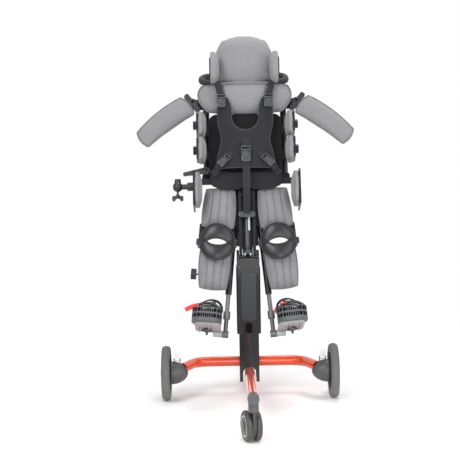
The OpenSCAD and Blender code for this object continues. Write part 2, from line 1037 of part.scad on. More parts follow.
// Hood: a rounded fork body between the wheels, its flange and its stem
module caster_hood(reach, turn) {
  color(black)
    on_caster(reach, turn)
      difference() {
        union() {
          rod_z(stem_d, flange_low, stem_top);
          rod_z(flange_d, flange_low, socket_low - seat_gap);
          intersection() {
            across(-hood_half, hood_half) {
              translate([caster_trail, caster_axle_z])
                circle(r = hood_r);
              translate([-flange_d / 2, caster_axle_z])
                square([flange_d / 2 + caster_trail, flange_low - caster_axle_z]);
            }
            translate([-hood_half, -flange_d / 2, caster_axle_z - hood_r + hood_low])
              cube([2 * hood_half, flange_d / 2 + caster_trail + hood_r,
                flange_low + hood_r]);
          }
        }
        translate([0, caster_trail, caster_axle_z])
          rod_x(caster_axle_d + 2 * run_gap, -hood_half - overrun, hood_half + overrun);
      }
}

module front_caster_hood() { caster_hood(-front_reach, caster_turn); }
module rear_caster_hood() { caster_hood(rear_reach, 0); }

// One caster wheel revolved about its axle, from its inner face outward
module caster_wheel() {
  rotate([0, 90, 0])
    rotate_extrude($fn = 96)
      difference() {
        union() {
          square([caster_d / 2 - tread_round, caster_w]);
          translate([0, tread_round])
            square([caster_d / 2, caster_w - 2 * tread_round]);
          for (z = [tread_round, caster_w - tread_round])
            translate([caster_d / 2 - tread_round, z])
              circle(tread_round);
          translate([0, caster_w - overrun])
            square([caster_cap_d / 2, caster_cap_h + overrun]);
        }
        translate([caster_ring_in / 2, caster_w - caster_ring_deep])
          square([(caster_ring_d - caster_ring_in) / 2, caster_ring_deep + overrun]);
      }
}

module caster_wheels(reach, turn) {
  color(rubber_grey)
    on_caster(reach, turn)
      translate([0, caster_trail, caster_axle_z]) {
        rod_x(caster_axle_d, -caster_gap / 2 - overrun, caster_gap / 2 + overrun);
        for (side = [-1, 1])
          on_side(side)
            translate([caster_gap / 2, 0, 0])
              caster_wheel();
      }
}

module front_caster_wheels() { caster_wheels(-front_reach, caster_turn); }
module rear_caster_wheels() { caster_wheels(rear_reach, 0); }

// Square outer column with its panel recess, cable notch and glide screws
module outer_column() {
  color(black)
    translate([0, column_y, 0]) {
      difference() {
        translate([0, 0, outer_bottom])
          linear_extrude(outer_top - outer_bottom)
            difference() {
              rounded_rect(outer_w, outer_w, outer_edge);
              square(inner_w + 2 * seat_gap, center = true);
            }
        slab(-outer_w / 2 - overrun, -outer_w / 2 + recess_deep)
          rect_between(-recess_w / 2, outer_bottom + recess_low, recess_w / 2,
            outer_top - recess_high, outer_edge);
        slab(-outer_w / 2 - overrun, -inner_w / 2 + overrun)
          rect_between(-notch_w / 2, outer_bottom - notch_h, notch_w / 2,
            outer_bottom + notch_h, outer_edge);
      }
      for (side = [-1, 1], share = column_screw_shares)
        on_side(side)
          translate([outer_w / 2 - column_screw_inset,
              -outer_w / 2, outer_bottom + share * (outer_top - outer_bottom)])
            rod_y(lift_wall_screw_d, -lift_wall_screw_h, recess_deep / 2);
    }
}

// Head on the outer column: two cheeks, the strut's ears, the apron and both pins
module column_head() {
  head_top = outer_top + head_base_t;
  color(dark_grey)
    translate([0, column_y, 0]) {
      translate([0, 0, outer_top])
        linear_extrude(head_base_t)
          rounded_rect(outer_w, outer_w, outer_edge);
      for (side = [-1, 1])
        on_side(side) {
          across(cheek_in, cheek_out) {
            translate([0, pivot_z])
              circle(r = cheek_r);
            translate([-cheek_front + outer_edge, head_top - head_base_t / 2])
              square([cheek_front + cheek_back - outer_edge, pivot_z - head_top
                + head_base_t / 2]);
          }
          across(strut_ear_in, strut_ear_in + strut_ear_t) {
            translate([-strut_pin_set, pivot_z + strut_pin_set])
              circle(r = strut_ear_r);
            translate([-strut_web_front, head_top - head_base_t / 2])
              square([strut_web_front - strut_web_back, pivot_z + strut_pin_set - head_top
                + head_base_t / 2]);
          }
        }
      slab(-cheek_front, -cheek_front + apron_t)
        intersection() {
          translate([0, pivot_z])
            circle(r = apron_r);
          translate([-apron_r, head_top - head_base_t / 2])
            square([2 * apron_r, pivot_z - head_top + head_base_t / 2]);
        }
      translate([0, 0, pivot_z])
        rod_x(pivot_d, -cheek_out, cheek_out);
      translate([0, -strut_pin_set, pivot_z + strut_pin_set])
        rod_x(strut_pin_d, -strut_ear_in - strut_ear_t, strut_ear_in + strut_ear_t);
    }
}

// One spine rail in y and z: a round nose on the tilt axis and lightening slots above
module rail_outline() {
  difference() {
    union() {
      circle(r = rail_nose);
      translate([-rail_front, 0])
        square([rail_front + rail_back, rail_len - rail_edge]);
      translate([-rail_front + rail_edge, 0])
        square([rail_front + rail_back - 2 * rail_edge, rail_len]);
      for (y = [-rail_front + rail_edge, rail_back - rail_edge])
        translate([y, rail_len - rail_edge])
          circle(rail_edge);
    }
    for (share = rail_slot_shares)
      translate([-(rail_front - rail_back) / 2, share * rail_len])
        rounded_rect(rail_slot_w, rail_slot_len, rail_slot_w / 2 - run_gap);
  }
}

module spine_rails() {
  rail_in = rail_set - rail_t / 2;
  color(black)
    on_body()
      difference() {
        union() {
          for (side = [-1, 1])
            on_side(side) {
              across(rail_in, rail_in + rail_t)
                rail_outline();
              translate([leg_set, 0, leg_s])
                rod_y(leg_pin_d, -leg_pin_reach, rail_back + hip_plate_t);
              translate([arm_set, 0, arm_s])
                rod_y(arm_pin_d, -arm_pin_reach, rail_back - yoke_t);
            }
          for (s = cross_s_list)
            slab(0, rail_back)
              translate([0, s])
                square([2 * (rail_in + cross_reach), cross_tall], center = true);
          slab(rail_back, rail_back + hip_plate_t)
            translate([0, leg_s])
              rounded_rect(2 * hip_plate_half, hip_plate_tall, yoke_corner);
          slab(rail_back - yoke_t, rail_back)
            rect_between(-yoke_low_half, yoke_low_s, yoke_low_half,
              yoke_low_s + yoke_low_tall, yoke_corner);
          slab(rail_back - yoke_t, rail_back)
            rect_between(-yoke_high_half, yoke_high_s, yoke_high_half,
              yoke_high_s + yoke_high_tall, yoke_corner);
          slab(-head_block_front, head_block_back)
            rect_between(-rail_in - cross_reach, head_block_low, rail_in + cross_reach,
              rail_len, cross_reach);
          translate([0, -strut_y, strut_top_s])
            rod_x(strut_top_d, -rail_in - cross_reach, rail_in + cross_reach);
        }
        rod_x(pivot_d + 2 * run_gap, -cheek_in, cheek_in);
        translate([0, -post_y, 0])
          rod_z(post_d + 2 * run_gap, head_block_low - overrun, rail_len + overrun);
      }
}

module strut_rod() {
  color(silver)
    on_body()
      translate([0, -strut_y, 0])
        difference() {
          union() {
            rod_z(strut_rod_d, strut_rod_low, strut_top_s);
            translate([0, 0, strut_top_s])
              rod_x(strut_top_eye, -strut_eye_w / 2, strut_eye_w / 2);
          }
          translate([0, 0, strut_top_s])
            rod_x(strut_top_d + 2 * run_gap, -strut_eye_w, strut_eye_w);
        }
}

module strut_cylinder() {
  color(dark_grey)
    on_body()
      translate([0, -strut_y, 0])
        difference() {
          union() {
            rod_z(strut_d, strut_low, strut_high);
            rod_z(strut_cap_d, strut_high - strut_cap_len, strut_high);
            rod_z(strut_neck_d, strut_eye_s, strut_low + overrun);
            translate([0, 0, strut_eye_s])
              rod_x(strut_eye_d, -strut_eye_w / 2, strut_eye_w / 2);
          }
          translate([0, 0, strut_eye_s])
            rod_x(strut_eye_hole, -strut_eye_w, strut_eye_w);
          rod_z(strut_rod_d + 2 * run_gap, strut_bore_low, strut_high + overrun);
        }
}

// Centre line of the back hoop as a solid of diameter d
module hoop_path(d, foot) {
  for (side = [-1, 1])
    on_side(side) {
      translate([hoop_set, hoop_y, 0])
        rod_z(d, foot, hoop_top - hoop_bend);
      translate([hoop_set - hoop_bend, hoop_y, hoop_top - hoop_bend])
        rotate([90, 0, 0])
          rotate_extrude(angle = 90)
            translate([hoop_bend, 0])
              circle(d = d);
    }
  translate([0, hoop_y, hoop_top])
    rod_x(d, -hoop_set + hoop_bend, hoop_set - hoop_bend);
}

module back_hoop() {
  color(orange)
    on_body()
      difference() {
        hoop_path(hoop_d, hoop_low);
        hoop_path(hoop_d - 2 * hoop_wall, hoop_low - overrun);
      }
}

module back_plate() {
  color(black)
    on_body() {
      slab(-plate_front, -plate_back)
        difference() {
          union() {
            rect_between(-back_plate_half, back_plate_low, back_plate_half,
              back_plate_high, plate_corner);
            translate([-lever_x, lever_s])
              circle(lever_lug_r);
            translate([-lever_x, lever_s - lever_lug_r])
              square([lever_x - back_plate_half + plate_corner, 2 * lever_lug_r]);
          }
          for (side = [-1, 1], s = slot_s_list)
            translate([side * slot_set, s])
              rounded_rect(slot_w, slot_h, slot_h / 2 - run_gap);
        }
      translate([-lever_x, 0, lever_s])
        rod_y(lever_pin_d, -plate_front - lever_gap - lever_t, -plate_front + overrun);
    }
}

// Lever blade: a taper from the hub to the tip, between two circles and their tangents
module lever_outline(reach, drop, root_r, tip_r) {
  turn = atan2(drop, reach);
  span = sqrt(reach * reach + drop * drop);
  root = lever_waist_share * root_r;
  tip = lever_waist_share * tip_r;
  rotate(turn)
    union() {
      circle(root_r);
      translate([-span, 0])
        circle(tip_r);
      polygon([[0, root], [-span, tip], [-span, -tip], [0, -root]]);
    }
}

module release_lever() {
  color(black)
    on_body()
      translate([-lever_x, 0, lever_s])
        slab(-plate_front - lever_gap - lever_t + run_gap, -plate_front - lever_gap)
          difference() {
            lever_outline(lever_reach, lever_drop, lever_root_r, lever_tip_r);
            circle(d = lever_pin_d + 2 * run_gap);
          }
}

// Loop handle: collars on the hoop's top run, two arms and a rounded ring of grip tube
module push_handle() {
  ring_x = handle_half - handle_d / 2;
  ring_y0 = handle_start + handle_d / 2;
  ring_y1 = handle_reach - handle_d / 2;
  color(black)
    on_body()
      translate([0, hoop_y, hoop_top])
        rotate([handle_rise, 0, 0])
          difference() {
            union() {
              for (side = [-1, 1])
                on_side(side) {
                  rod_x(handle_collar_d, handle_collar_set - handle_collar_w / 2,
                    handle_collar_set + handle_collar_w / 2);
                  translate([handle_collar_set, 0, 0])
                    rod_y(handle_arm_d, 0, ring_y0);
                  translate([ring_x, 0, 0])
                    rod_y(handle_d, ring_y0 + handle_bend, ring_y1 - handle_bend);
                  translate([ring_x - handle_bend, ring_y0 + handle_bend, 0])
                    rotate([0, 0, -90])
                      handle_corner();
                  translate([ring_x - handle_bend, ring_y1 - handle_bend, 0])
                    handle_corner();
                }
              for (y = [ring_y0, ring_y1])
                translate([0, y, 0])
                  rod_x(handle_d, -ring_x + handle_bend, ring_x - handle_bend);
            }
            rod_x(hoop_d + 2 * handle_collar_play, -handle_half, handle_half);
          }
}

module handle_corner() {
  rotate_extrude(angle = 90)
    translate([handle_bend, 0])
      circle(d = handle_d);
}

module back_pad() {
  color(grey_fabric)
    on_body()
      translate([0, -plate_back, back_pad_low + back_tall / 2])
        cushion(back_low, back_high, back_tall, back_edge, back_crown);
}

module hip_belt() {
  color(black)
    on_body()
      slab(-plate_front - seat_gap - belt_t, -plate_front - seat_gap) {
        rect_between(-belt_half, belt_s, belt_half, belt_s + belt_tall, belt_lobe_r);
        for (side = [-1, 1])
          rect_between(side * belt_lobe_x - belt_lobe_half, belt_s - belt_lobe_drop,
            side * belt_lobe_x + belt_lobe_half, belt_s + belt_tall / 2, belt_lobe_r);
      }
}

// Vest: a scooped outline with shoulder straps, cut from a shell that curves round the chest
module vest_outline() {
  difference() {
    union() {
      rect_between(-vest_half, vest_low, vest_half, vest_waist, vest_corner);
      for (side = [-1, 1])
        on_side(side)
          rect_between(vest_strap_in, vest_low + vest_corner, vest_half, vest_high, vest_corner);
      rect_between(-vest_half, vest_waist - 2 * vest_corner, vest_half,
        vest_scoop_s, vest_corner / 2);
    }
    translate([0, vest_scoop_s])
      circle(vest_scoop_r);
  }
}

module vest() {
  color(charcoal)
    on_body()
      intersection() {
        slab(-vest_front - overrun, 0)
          vest_outline();
        translate([0, vest_curve_r - vest_front, vest_low - overrun])
          difference() {
            cylinder(r = vest_curve_r, h = vest_high - vest_low + 2 * overrun, $fn = 128);
            translate([0, 0, -overrun])
              cylinder(r = vest_curve_r - vest_t, h = vest_high - vest_low + 4 * overrun,
                $fn = 128);
          }
      }
}

// Depth of the vest's front and back faces at a distance from the centre
function vest_face(x) = vest_curve_r - vest_front - sqrt(vest_curve_r * vest_curve_r - x * x);
function vest_rear(x) = vest_curve_r - vest_front
  - sqrt(pow(vest_curve_r - vest_t, 2) - x * x);

// Webbing of the harness with its buckles
module harness_straps() {
  shoulder_face = vest_face(shoulder_x - webbing_w / 2) - seat_gap;
  pad_top = back_pad_low + seat_gap + back_tall / 2 + pad_plan(
    (2 * shoulder_x - webbing_w) / back_high, 1, back_low, back_high, back_tall, pad_round_share, 0)[1];
  side_rear = vest_rear(vest_half) + seat_gap;
  color(black)
    on_body() {
      for (side = [-1, 1])
        on_side(side) {
          slab(shoulder_face - webbing_t, shoulder_face)
            rect_between(shoulder_x - webbing_w / 2, shoulder_low, shoulder_x + webbing_w / 2,
              pad_top + webbing_t, run_gap);
          slab(shoulder_face - webbing_t, -plate_back + shoulder_run_back)
            rect_between(shoulder_x - webbing_w / 2, pad_top, shoulder_x + webbing_w / 2,
              pad_top + webbing_t, run_gap);
          slab(shoulder_face - webbing_t - buckle_t, shoulder_face - webbing_t)
            rect_between(shoulder_x - buckle_w / 2, shoulder_low, shoulder_x + buckle_w / 2,
              shoulder_low + buckle_h, buckle_edge);
          slab(side_rear, side_rear + webbing_t)
            translate([side_web_in, side_web_high])
              lever_outline(side_web_in - side_web_out, side_web_high - side_web_low,
                webbing_w / 2, webbing_w / 2 - run_gap);
        }
      slab(-vest_front - seat_gap - webbing_t, -vest_front - seat_gap)
        rect_between(-crotch_w / 2, crotch_low, crotch_w / 2, crotch_high, buckle_edge);
      slab(-vest_front - seat_gap - webbing_t - buckle_t, -vest_front - seat_gap - webbing_t)
        rect_between(-centre_buckle_w / 2, centre_buckle_s, centre_buckle_w / 2,
          centre_buckle_s + centre_buckle_h, buckle_edge);
    }
}

module head_post() {
  color(black)
    on_body() {
      translate([0, -post_y, 0])
        rod_z(post_d, post_low, post_high);
      slab(-head_plate_front, -head_plate_back) {
        rect_between(-head_plate_half, head_plate_low, head_plate_half, head_plate_high, plate_corner);
        translate([0, wing_s])
          square([2 * (wing_set + wing_t), wing_bar_tall], center = true);
      }
      for (side = [-1, 1])
        on_side(side)
          across(wing_set, wing_set + wing_t) {
            rect_between(-wing_y - wing_plate_deep / 2, wing_s - wing_plate_tall / 2,
              -wing_y + wing_plate_deep / 2, wing_s + wing_plate_tall / 2, yoke_corner);
            rect_between(-wing_y, wing_s - wing_bar_tall / 2, -head_plate_back,
              wing_s + wing_bar_tall / 2, wing_t);
          }
    }
}

module head_pad() {
  color(grey_fabric)
    on_body()
      translate([0, -head_plate_front - seat_gap, head_low_s + head_tall / 2])
        cushion(head_low, head_high, head_tall, head_edge, head_crown, head_round_share);
}

module head_wings() {
  color(grey_fabric)
    on_body()
      for (side = [-1, 1])
        on_side(side)
          translate([wing_set - seat_gap, -wing_y, wing_s])
            rotate([0, 0, -90])
              cushion(wing_deep, wing_deep, wing_tall, wing_edge, wing_crown,
                head_round_share);
}

// Frame of one arm support: from its hinge, z up along the arm toward the hinge
module on_arm(side) {
  on_body()
    on_side(side)
      translate([arm_set, 0, arm_s])
        rotate([0, -arm_slope, 0])
          children();
}

module arm_bracket(side) {
  color(black)
    on_arm(side)
      difference() {
        union() {
          rod_y(arm_boss_d, -arm_boss_front, rail_back - yoke_t - seat_gap);
          slab(-arm_boss_front, -arm_boss_front + arm_blade_t)
            rect_between(-arm_blade_w / 2, -arm_blade_len, arm_blade_w / 2,
              arm_boss_d / 2, arm_blade_w / 2 - run_gap);
          slab(-arm_collar_deep, -arm_boss_front + arm_blade_t)
            rect_between(-arm_wide / 2, -arm_pad_in + seat_gap, arm_wide / 2,
              -arm_pad_in + arm_collar_t, arm_collar_t / 3);
        }
        rod_y(arm_pin_d + 2 * run_gap, -arm_pin_reach - overrun - arm_collar_deep, rail_back);
      }
}

module arm_pad(side) {
  color(grey_fabric)
    on_arm(side)
      translate([0, -arm_boss_front - seat_gap, -arm_pad_in - arm_len / 2])
        cushion(arm_narrow, arm_wide, arm_len, arm_edge, arm_crown, arm_round_share,
          0, 0, arm_bend);
}

// Chest brackets: a tongue behind the back plate, a side plate and its clamping knob
module chest_bracket(s) {
  slab(-tongue_front, -tongue_front + tongue_t)
    rect_between(tongue_in, s - tongue_tall / 2, chest_set + side_plate_t, s + tongue_tall / 2,
      side_plate_t - run_gap);
  across(chest_set, chest_set + side_plate_t) {
    rect_between(-tongue_front - chest_plate_root, s - tongue_tall / 2, -tongue_front + tongue_t,
      s + tongue_tall / 2, side_plate_t / 2);
    rect_between(-tongue_front + tongue_t - chest_plate_deep, s - chest_tall * plate_share / 2,
      -tongue_front - chest_plate_root + yoke_corner, s + chest_tall * plate_share / 2,
      yoke_corner);
  }
  translate([chest_set + side_plate_t, -chest_y, s])
    rotate([0, 90, 0])
      ribbed_knob(chest_knob_d, chest_knob_t);
}

module chest_brackets(side) {
  color(black)
    on_body()
      on_side(side)
        for (s = [chest_upper_s, chest_lower_s])
          chest_bracket(s);
}

module chest_pads(side) {
  color(grey_fabric)
    on_body()
      on_side(side)
        for (s = [chest_upper_s, chest_lower_s])
          translate([chest_set - seat_gap, -chest_y, s])
            rotate([0, 0, -90])
              cushion(chest_deep, chest_deep, chest_tall, chest_edge, chest_crown);
}

module hip_bracket(side) {
  color(black)
    on_body()
      on_side(side) {
        slab(-tongue_front, -tongue_front + tongue_t)
          rect_between(hip_tongue_in, hip_tongue_low, hip_set + side_plate_t,
            hip_tongue_low + hip_tongue_tall, side_plate_t - run_gap);
        across(hip_set, hip_set + side_plate_t)
          rect_between(-tongue_front + tongue_t - hip_plate_deep, hip_plate_low,
            -tongue_front + tongue_t, hip_tongue_low + hip_tongue_tall, yoke_corner);
      }
}

module hip_pad(side) {
  color(grey_fabric)
    on_body()
      on_side(side)
        translate([hip_set - seat_gap, -hip_y, hip_s])
          rotate([0, 0, -90])
            cushion(hip_deep, hip_deep, hip_tall, hip_edge, hip_crown);
}

// Clamp for an accessory: a block on the hip bracket, an arm and a bored knuckle
module accessory_clamp() {
  block_x = hip_set + side_plate_t + seat_gap;
  color(black)
    on_body()
      on_side(-1)
        translate([block_x, -clamp_y, clamp_s])
          difference() {
            union() {
              across(0, clamp_block_len)
                rounded_rect(clamp_block, clamp_block, yoke_corner);
              rod_x(clamp_arm_d, 0, clamp_ball_set);
              translate([clamp_ball_set, 0, 0])
                sphere(d = clamp_ball_d);
              translate([clamp_ball_set, 0, 0])
                rod_z(clamp_cap_d, 0, clamp_ball_d / 2 + clamp_cap_h);
            }
            translate([clamp_ball_set + clamp_ball_d / 2 - clamp_bore_len, 0, 0])
              rod_x(clamp_bore_d, 0, clamp_bore_len + overrun);
            translate([clamp_ball_set, 0, 0])
              rod_z(wing_screw_d + 2 * run_gap, -clamp_ball_d, -clamp_bore_d / 2 + overrun);
          }
}

module wing_screw() {
  color(black)
    on_body()
      on_side(-1)
        translate([hip_set + side_plate_t + seat_gap + clamp_ball_set, -clamp_y,
            clamp_s - clamp_ball_d / 2]) {
          rod_z(wing_screw_d, -wing_screw_len, wing_screw_sink);
          rod_z(wing_hub_d, -wing_screw_len, -wing_screw_len + wing_h * wing_hub_share);
          slab(-wing_screw_t / 2, wing_screw_t / 2)
            difference() {
              rect_between(-wing_half, -wing_screw_len - wing_h + wing_screw_t, wing_half,
                -wing_screw_len + wing_screw_t, wing_screw_t);
              translate([0, -wing_screw_len - wing_h + wing_screw_t])
                circle(wing_h / 2);
            }
        }
}

// Leg rail: a tube for the foot rod, the hinge boss, two pad carriers and the knee arms
module leg_rail(side) {
  carrier_back = carrier_front - carrier_t;
  color(black)
    on_leg(side)
      difference() {
        union() {
          rod_z(leg_rail_d, -leg_rail_len, leg_rail_up);
          rod_y(leg_boss_d, -leg_boss_front, rail_back - seat_gap);
          slab(-carrier_front, -carrier_back)
            carrier(thigh_carrier_w, thigh_carrier_low, thigh_carrier_high);
          slab(-carrier_front, -carrier_back)
            carrier(calf_carrier_w, calf_carrier_low, calf_carrier_high);
          slab(-carrier_front, -carrier_back)
            rect_between(knee_arm_start, knee_z - knee_arm_tall / 2,
              knee_arm_out + knee_arm_t, knee_arm_top, knee_arm_t / 2);
          slab(-carrier_front, -carrier_back)
            rect_between(-knee_arm_in, knee_z - knee_arm_tall / 2, leg_rail_d / 2,
              knee_z + knee_arm_tall / 2, knee_arm_t / 2);
          for (x = [-knee_arm_in, knee_arm_out])
            across(x, x + knee_arm_t)
              rect_between(-knee_arm_front, knee_z - knee_arm_tall / 2, -carrier_back,
                knee_z + knee_arm_tall / 2, knee_arm_t / 2);
          for (ends = [[thigh_carrier_low, thigh_carrier_high * rib_share],
              [calf_carrier_low, calf_carrier_high],
              [knee_z - knee_arm_tall / 2, knee_z + knee_arm_tall / 2]])
            slab(-carrier_front + carrier_t / 2, 0)
              rect_between(carrier_in, ends[0] + carrier_corner / 2, leg_rail_d / 2 - seat_gap,
                ends[1] - carrier_corner / 2, carrier_t / 3);
        }
        translate([-leg_rail_d, rail_back - seat_gap, -hip_plate_tall])
          cube([2 * leg_rail_d, leg_rail_d, 2 * hip_plate_tall]);
        rod_z(foot_rod_d + 2 * leg_bore_gap, -leg_rail_len - overrun, -leg_bore_low);
        rod_y(leg_pin_d + 2 * run_gap, -carrier_front - overrun, rail_back);
      }
}

module carrier(w, low, high) {
  difference() {
    rect_between(carrier_in, low, carrier_in + w, high, carrier_corner);
    for (share = carrier_slot_shares)
      translate([carrier_in + w * carrier_middle_share, low + share * (high - low)])
        rounded_rect(carrier_slot_w, carrier_slot_h, carrier_slot_h / 2 - run_gap);
  }
}

module leg_pads(side) {
  color(grey_fabric)
    on_leg(side) {
      translate([leg_pad_x, -carrier_front - seat_gap, thigh_z])
        cushion(thigh_low, thigh_high, thigh_tall, leg_edge, leg_crown, leg_round_share,
          leg_channels, leg_groove, 0, 4 * leg_channels, 6);
      translate([leg_pad_x, -carrier_front - seat_gap, calf_z])
        cushion(calf_low, calf_high, calf_tall, leg_edge, leg_crown, leg_round_share,
          leg_channels, leg_groove, 0, 4 * leg_channels, 6);
    }
}

// Knee cup: a padded ring swept round an almond-shaped opening; its middle bulges forward
function knee_point(a, b) =
  let (mid = (1 + cos(b)) / 2)
  let (x = cos(a) * (knee_hole_half + (knee_half - knee_hole_half) * mid))
  let (z = sin(a) * (knee_hole_tall + (knee_tall_half - knee_hole_tall) * mid))
  [x, -knee_front + knee_t / 2 + knee_sag * x * x / knee_half / knee_half - sin(b) * knee_t / 2, z];

module knee_ring() {
  points = [for (i = [0 : knee_steps - 1], j = [0 : knee_sides - 1])
    knee_point(i * 360 / knee_steps, j * 360 / knee_sides)];
  faces = [for (i = [0 : knee_steps - 1], j = [0 : knee_sides - 1], half = [0, 1])
    let (i2 = (i + 1) % knee_steps, j2 = (j + 1) % knee_sides)
    let (a = i * knee_sides + j, b = i2 * knee_sides + j)
    let (c = i2 * knee_sides + j2, d = i * knee_sides + j2)
    half == 0 ? [a, c, b] : [a, d, c]];
  polyhedron(points, faces);
}

module knee_cup(side) {
  color(black)
    on_leg(side) {
      translate([knee_x, 0, knee_z])
        knee_ring();
      for (x = [-knee_arm_in, knee_arm_out])
        slab(-knee_seat - knee_strap_t, -knee_seat)
          rect_between(x - knee_buckle_w / 2 + knee_arm_t / 2, knee_z - knee_strap_tall / 2,
            x + knee_buckle_w / 2 + knee_arm_t / 2, knee_z + knee_strap_tall / 2, knee_strap_t);
      for (ends = [[-knee_arm_in + knee_arm_t / 2, knee_x - knee_half + knee_strap_lap],
          [knee_x + knee_half - knee_strap_lap, knee_arm_out + knee_arm_t / 2]])
        slab(-knee_seat - knee_strap_t - knee_web_t, -knee_seat - knee_strap_t)
          rect_between(ends[0], knee_z - knee_web_tall / 2, ends[1], knee_z + knee_web_tall / 2,
            knee_web_t / 2);
    }
}

module calf_knob() {
  color(black)
    on_leg(-1)
      translate([carrier_in + calf_carrier_w + seat_gap, -carrier_front + carrier_t / 2, calf_knob_z])
        rotate([0, 90, 0]) {
          cylinder(d = knob_shaft_d, h = calf_knob_x - carrier_in - calf_carrier_w);
          translate([0, 0, calf_knob_x - carrier_in - calf_carrier_w - seat_gap])
            ribbed_knob(calf_knob_d, calf_knob_w);
        }
}

// Foot rod with its clamp collar, ankle block and ankle pin
module foot_rod(side) {
  color(dark_grey)
    on_leg(side) {
      rod_z(foot_rod_d, foot_rod_top - foot_rod_len, foot_rod_top);
      rod_z(foot_collar_d, foot_collar_z, foot_collar_z + foot_collar_h);
      translate([0, 0, ankle_z]) {
        rod_x(ankle_d, -ankle_half, ankle_half);
        rod_x(ankle_pin_d, 0, ankle_half + ankle_pin_len);
      }
    }
}

// Footplate on the ankle pin: plate, hinge boss, stiffening ribs and the knob below
module footplate(side) {
  plate_z = ankle_z + foot_boss_d / 2 - footplate_t / 2;
  color(silver)
    on_leg(side)
      difference() {
        union() {
          translate([0, 0, plate_z])
            linear_extrude(footplate_t)
              rect_between(footplate_in, footplate_heel - footplate_len,
                footplate_in + footplate_w, footplate_heel, footplate_corner);
          translate([0, 0, ankle_z])
            rod_x(foot_boss_d, ankle_half + foot_boss_gap, ankle_half + foot_boss_gap + foot_boss_len);
          for (share = footplate_rib_shares)
            translate([footplate_in + share * footplate_w - footplate_rib_t / 2,
                footplate_heel - footplate_len + footplate_corner, plate_z - footplate_rib_h])
              cube([footplate_rib_t, footplate_len - 2 * footplate_corner,
                footplate_rib_h + footplate_t / 2]);
          translate([foot_knob_x, -foot_knob_y, plate_z - foot_knob_h])
            ribbed_knob(foot_knob_d, foot_knob_h + footplate_t / 2);
        }
        translate([0, 0, ankle_z])
          rod_x(ankle_pin_d + 2 * run_gap, -ankle_half, ankle_half + ankle_pin_len + overrun);
      }
}

// Plan of the sandal: a broad round toe and a narrower heel, drawn in by an inset
module sandal_plan(inset) {
  mid = sandal_in + sandal_w / 2;
  toe = sandal_heel - sandal_len;
  intersection() {
    union() {
      rect_between(sandal_in + inset, toe + inset, sandal_in + sandal_w - inset,
        sandal_heel - sandal_len * sandal_waist_share, sandal_toe_r - inset);
      rect_between(mid - sandal_heel_r + inset, toe + sandal_toe_r, mid + sandal_heel_r - inset,
        sandal_heel - inset, sandal_heel_r - inset - run_gap);
      polygon([
        [sandal_in + inset, sandal_heel - sandal_len * sandal_waist_share - sandal_toe_r],
        [sandal_in + sandal_w - inset, sandal_heel - sandal_len * sandal_waist_share - sandal_toe_r],
        [mid + sandal_heel_r - inset, sandal_heel - sandal_heel_r],
        [mid - sandal_heel_r + inset, sandal_heel - sandal_heel_r]]);
    }
    translate([sandal_in, toe])
      square([sandal_w, sandal_len]);
  }
}

// Sandal: sole and wall, open at the sides of the arch, slotted at the toe, with two straps
module sandal(side) {
  sole_z = ankle_z + foot_boss_d / 2 + footplate_t / 2 + seat_gap;
  mid = sandal_in + sandal_w / 2;
  toe = sandal_heel - sandal_len;
  slot_pitch = (sandal_w - 2 * sandal_toe_r * toe_corner_share) / toe_slots;
  color(dark_grey)
    on_leg(side)
      translate([0, 0, sole_z])
        difference() {
          union() {
            linear_extrude(sandal_sole)
              sandal_plan(0);
            linear_extrude(sandal_tall)
              difference() {
                sandal_plan(0);
                sandal_plan(sandal_wall);
              }
            for (y = strap_places)
              sandal_strap(toe + y);
          }
          for (side_x = [-overrun, sandal_w - sandal_wall - sandal_heel_r])
            translate([sandal_in + side_x, toe + strap_places[1] + strap_w + sandal_wall,
                sandal_arch_low])
              cube([sandal_wall + sandal_heel_r + overrun, sandal_arch_len, sandal_tall]);
          for (i = [0 : toe_slots - 1], row = [0 : toe_rows - 1])
            translate([mid + (i - (toe_slots - 1) / 2) * slot_pitch - slot_pitch * slot_share / 2,
                toe - overrun, sandal_sole + row * (sandal_tall - sandal_sole) / toe_rows
                + (sandal_tall - sandal_sole) / toe_rows * (1 - toe_slot_tall_share) / 2])
              cube([slot_pitch * slot_share, sandal_toe_r, (sandal_tall - sandal_sole)
                / toe_rows * toe_slot_tall_share]);
        }
}

// One strap arched over the sandal from wall to wall
module sandal_strap(y) {
  half = sandal_w / 2 - sandal_wall / 2;
  strap_r = (half * half + strap_rise * strap_rise) / 2 / strap_rise;
  translate([sandal_in + sandal_w / 2, y + strap_w, sandal_tall - strap_lap + strap_rise - strap_r])
    rotate([90, 0, 0])
      linear_extrude(strap_w)
        intersection() {
          difference() {
            circle(strap_r, $fn = 96);
            circle(strap_r - strap_t, $fn = 96);
          }
          translate([-half, strap_r - strap_rise - strap_t])
            square([2 * half, strap_rise + 2 * strap_t]);
        }
}

crossbar();
base_legs();
leg_ends();
inner_column();
lift_cylinder();
hub_domes();
rim(-1);  // rim_left
rim(1);  // rim_right
tyre(-1);  // tyre_left
tyre(1);  // tyre_right
brake_pedal(-1);  // brake_pedal_left
brake_pedal(1);  // brake_pedal_right
front_caster_hood();
front_caster_wheels();
rear_caster_hood();
rear_caster_wheels();
lift_rod();
outer_column();
column_head();
spine_rails();
strut_rod();
strut_cylinder();
back_hoop();
back_plate();
push_handle();
back_pad();
hip_belt();
vest();
harness_straps();
head_post();
head_pad();
head_wings();
arm_bracket(-1);  // arm_bracket_left
arm_bracket(1);  // arm_bracket_right
arm_pad(-1);  // arm_pad_left
arm_pad(1);  // arm_pad_right
chest_brackets(-1);  // chest_brackets_left
chest_brackets(1);  // chest_brackets_right
chest_pads(-1);  // chest_pads_left
chest_pads(1);  // chest_pads_right
hip_bracket(-1);  // hip_bracket_left
hip_bracket(1);  // hip_bracket_right
hip_pad(-1);  // hip_pad_left
hip_pad(1);  // hip_pad_right
release_lever();
accessory_clamp();
wing_screw();
leg_rail(-1);  // leg_rail_left
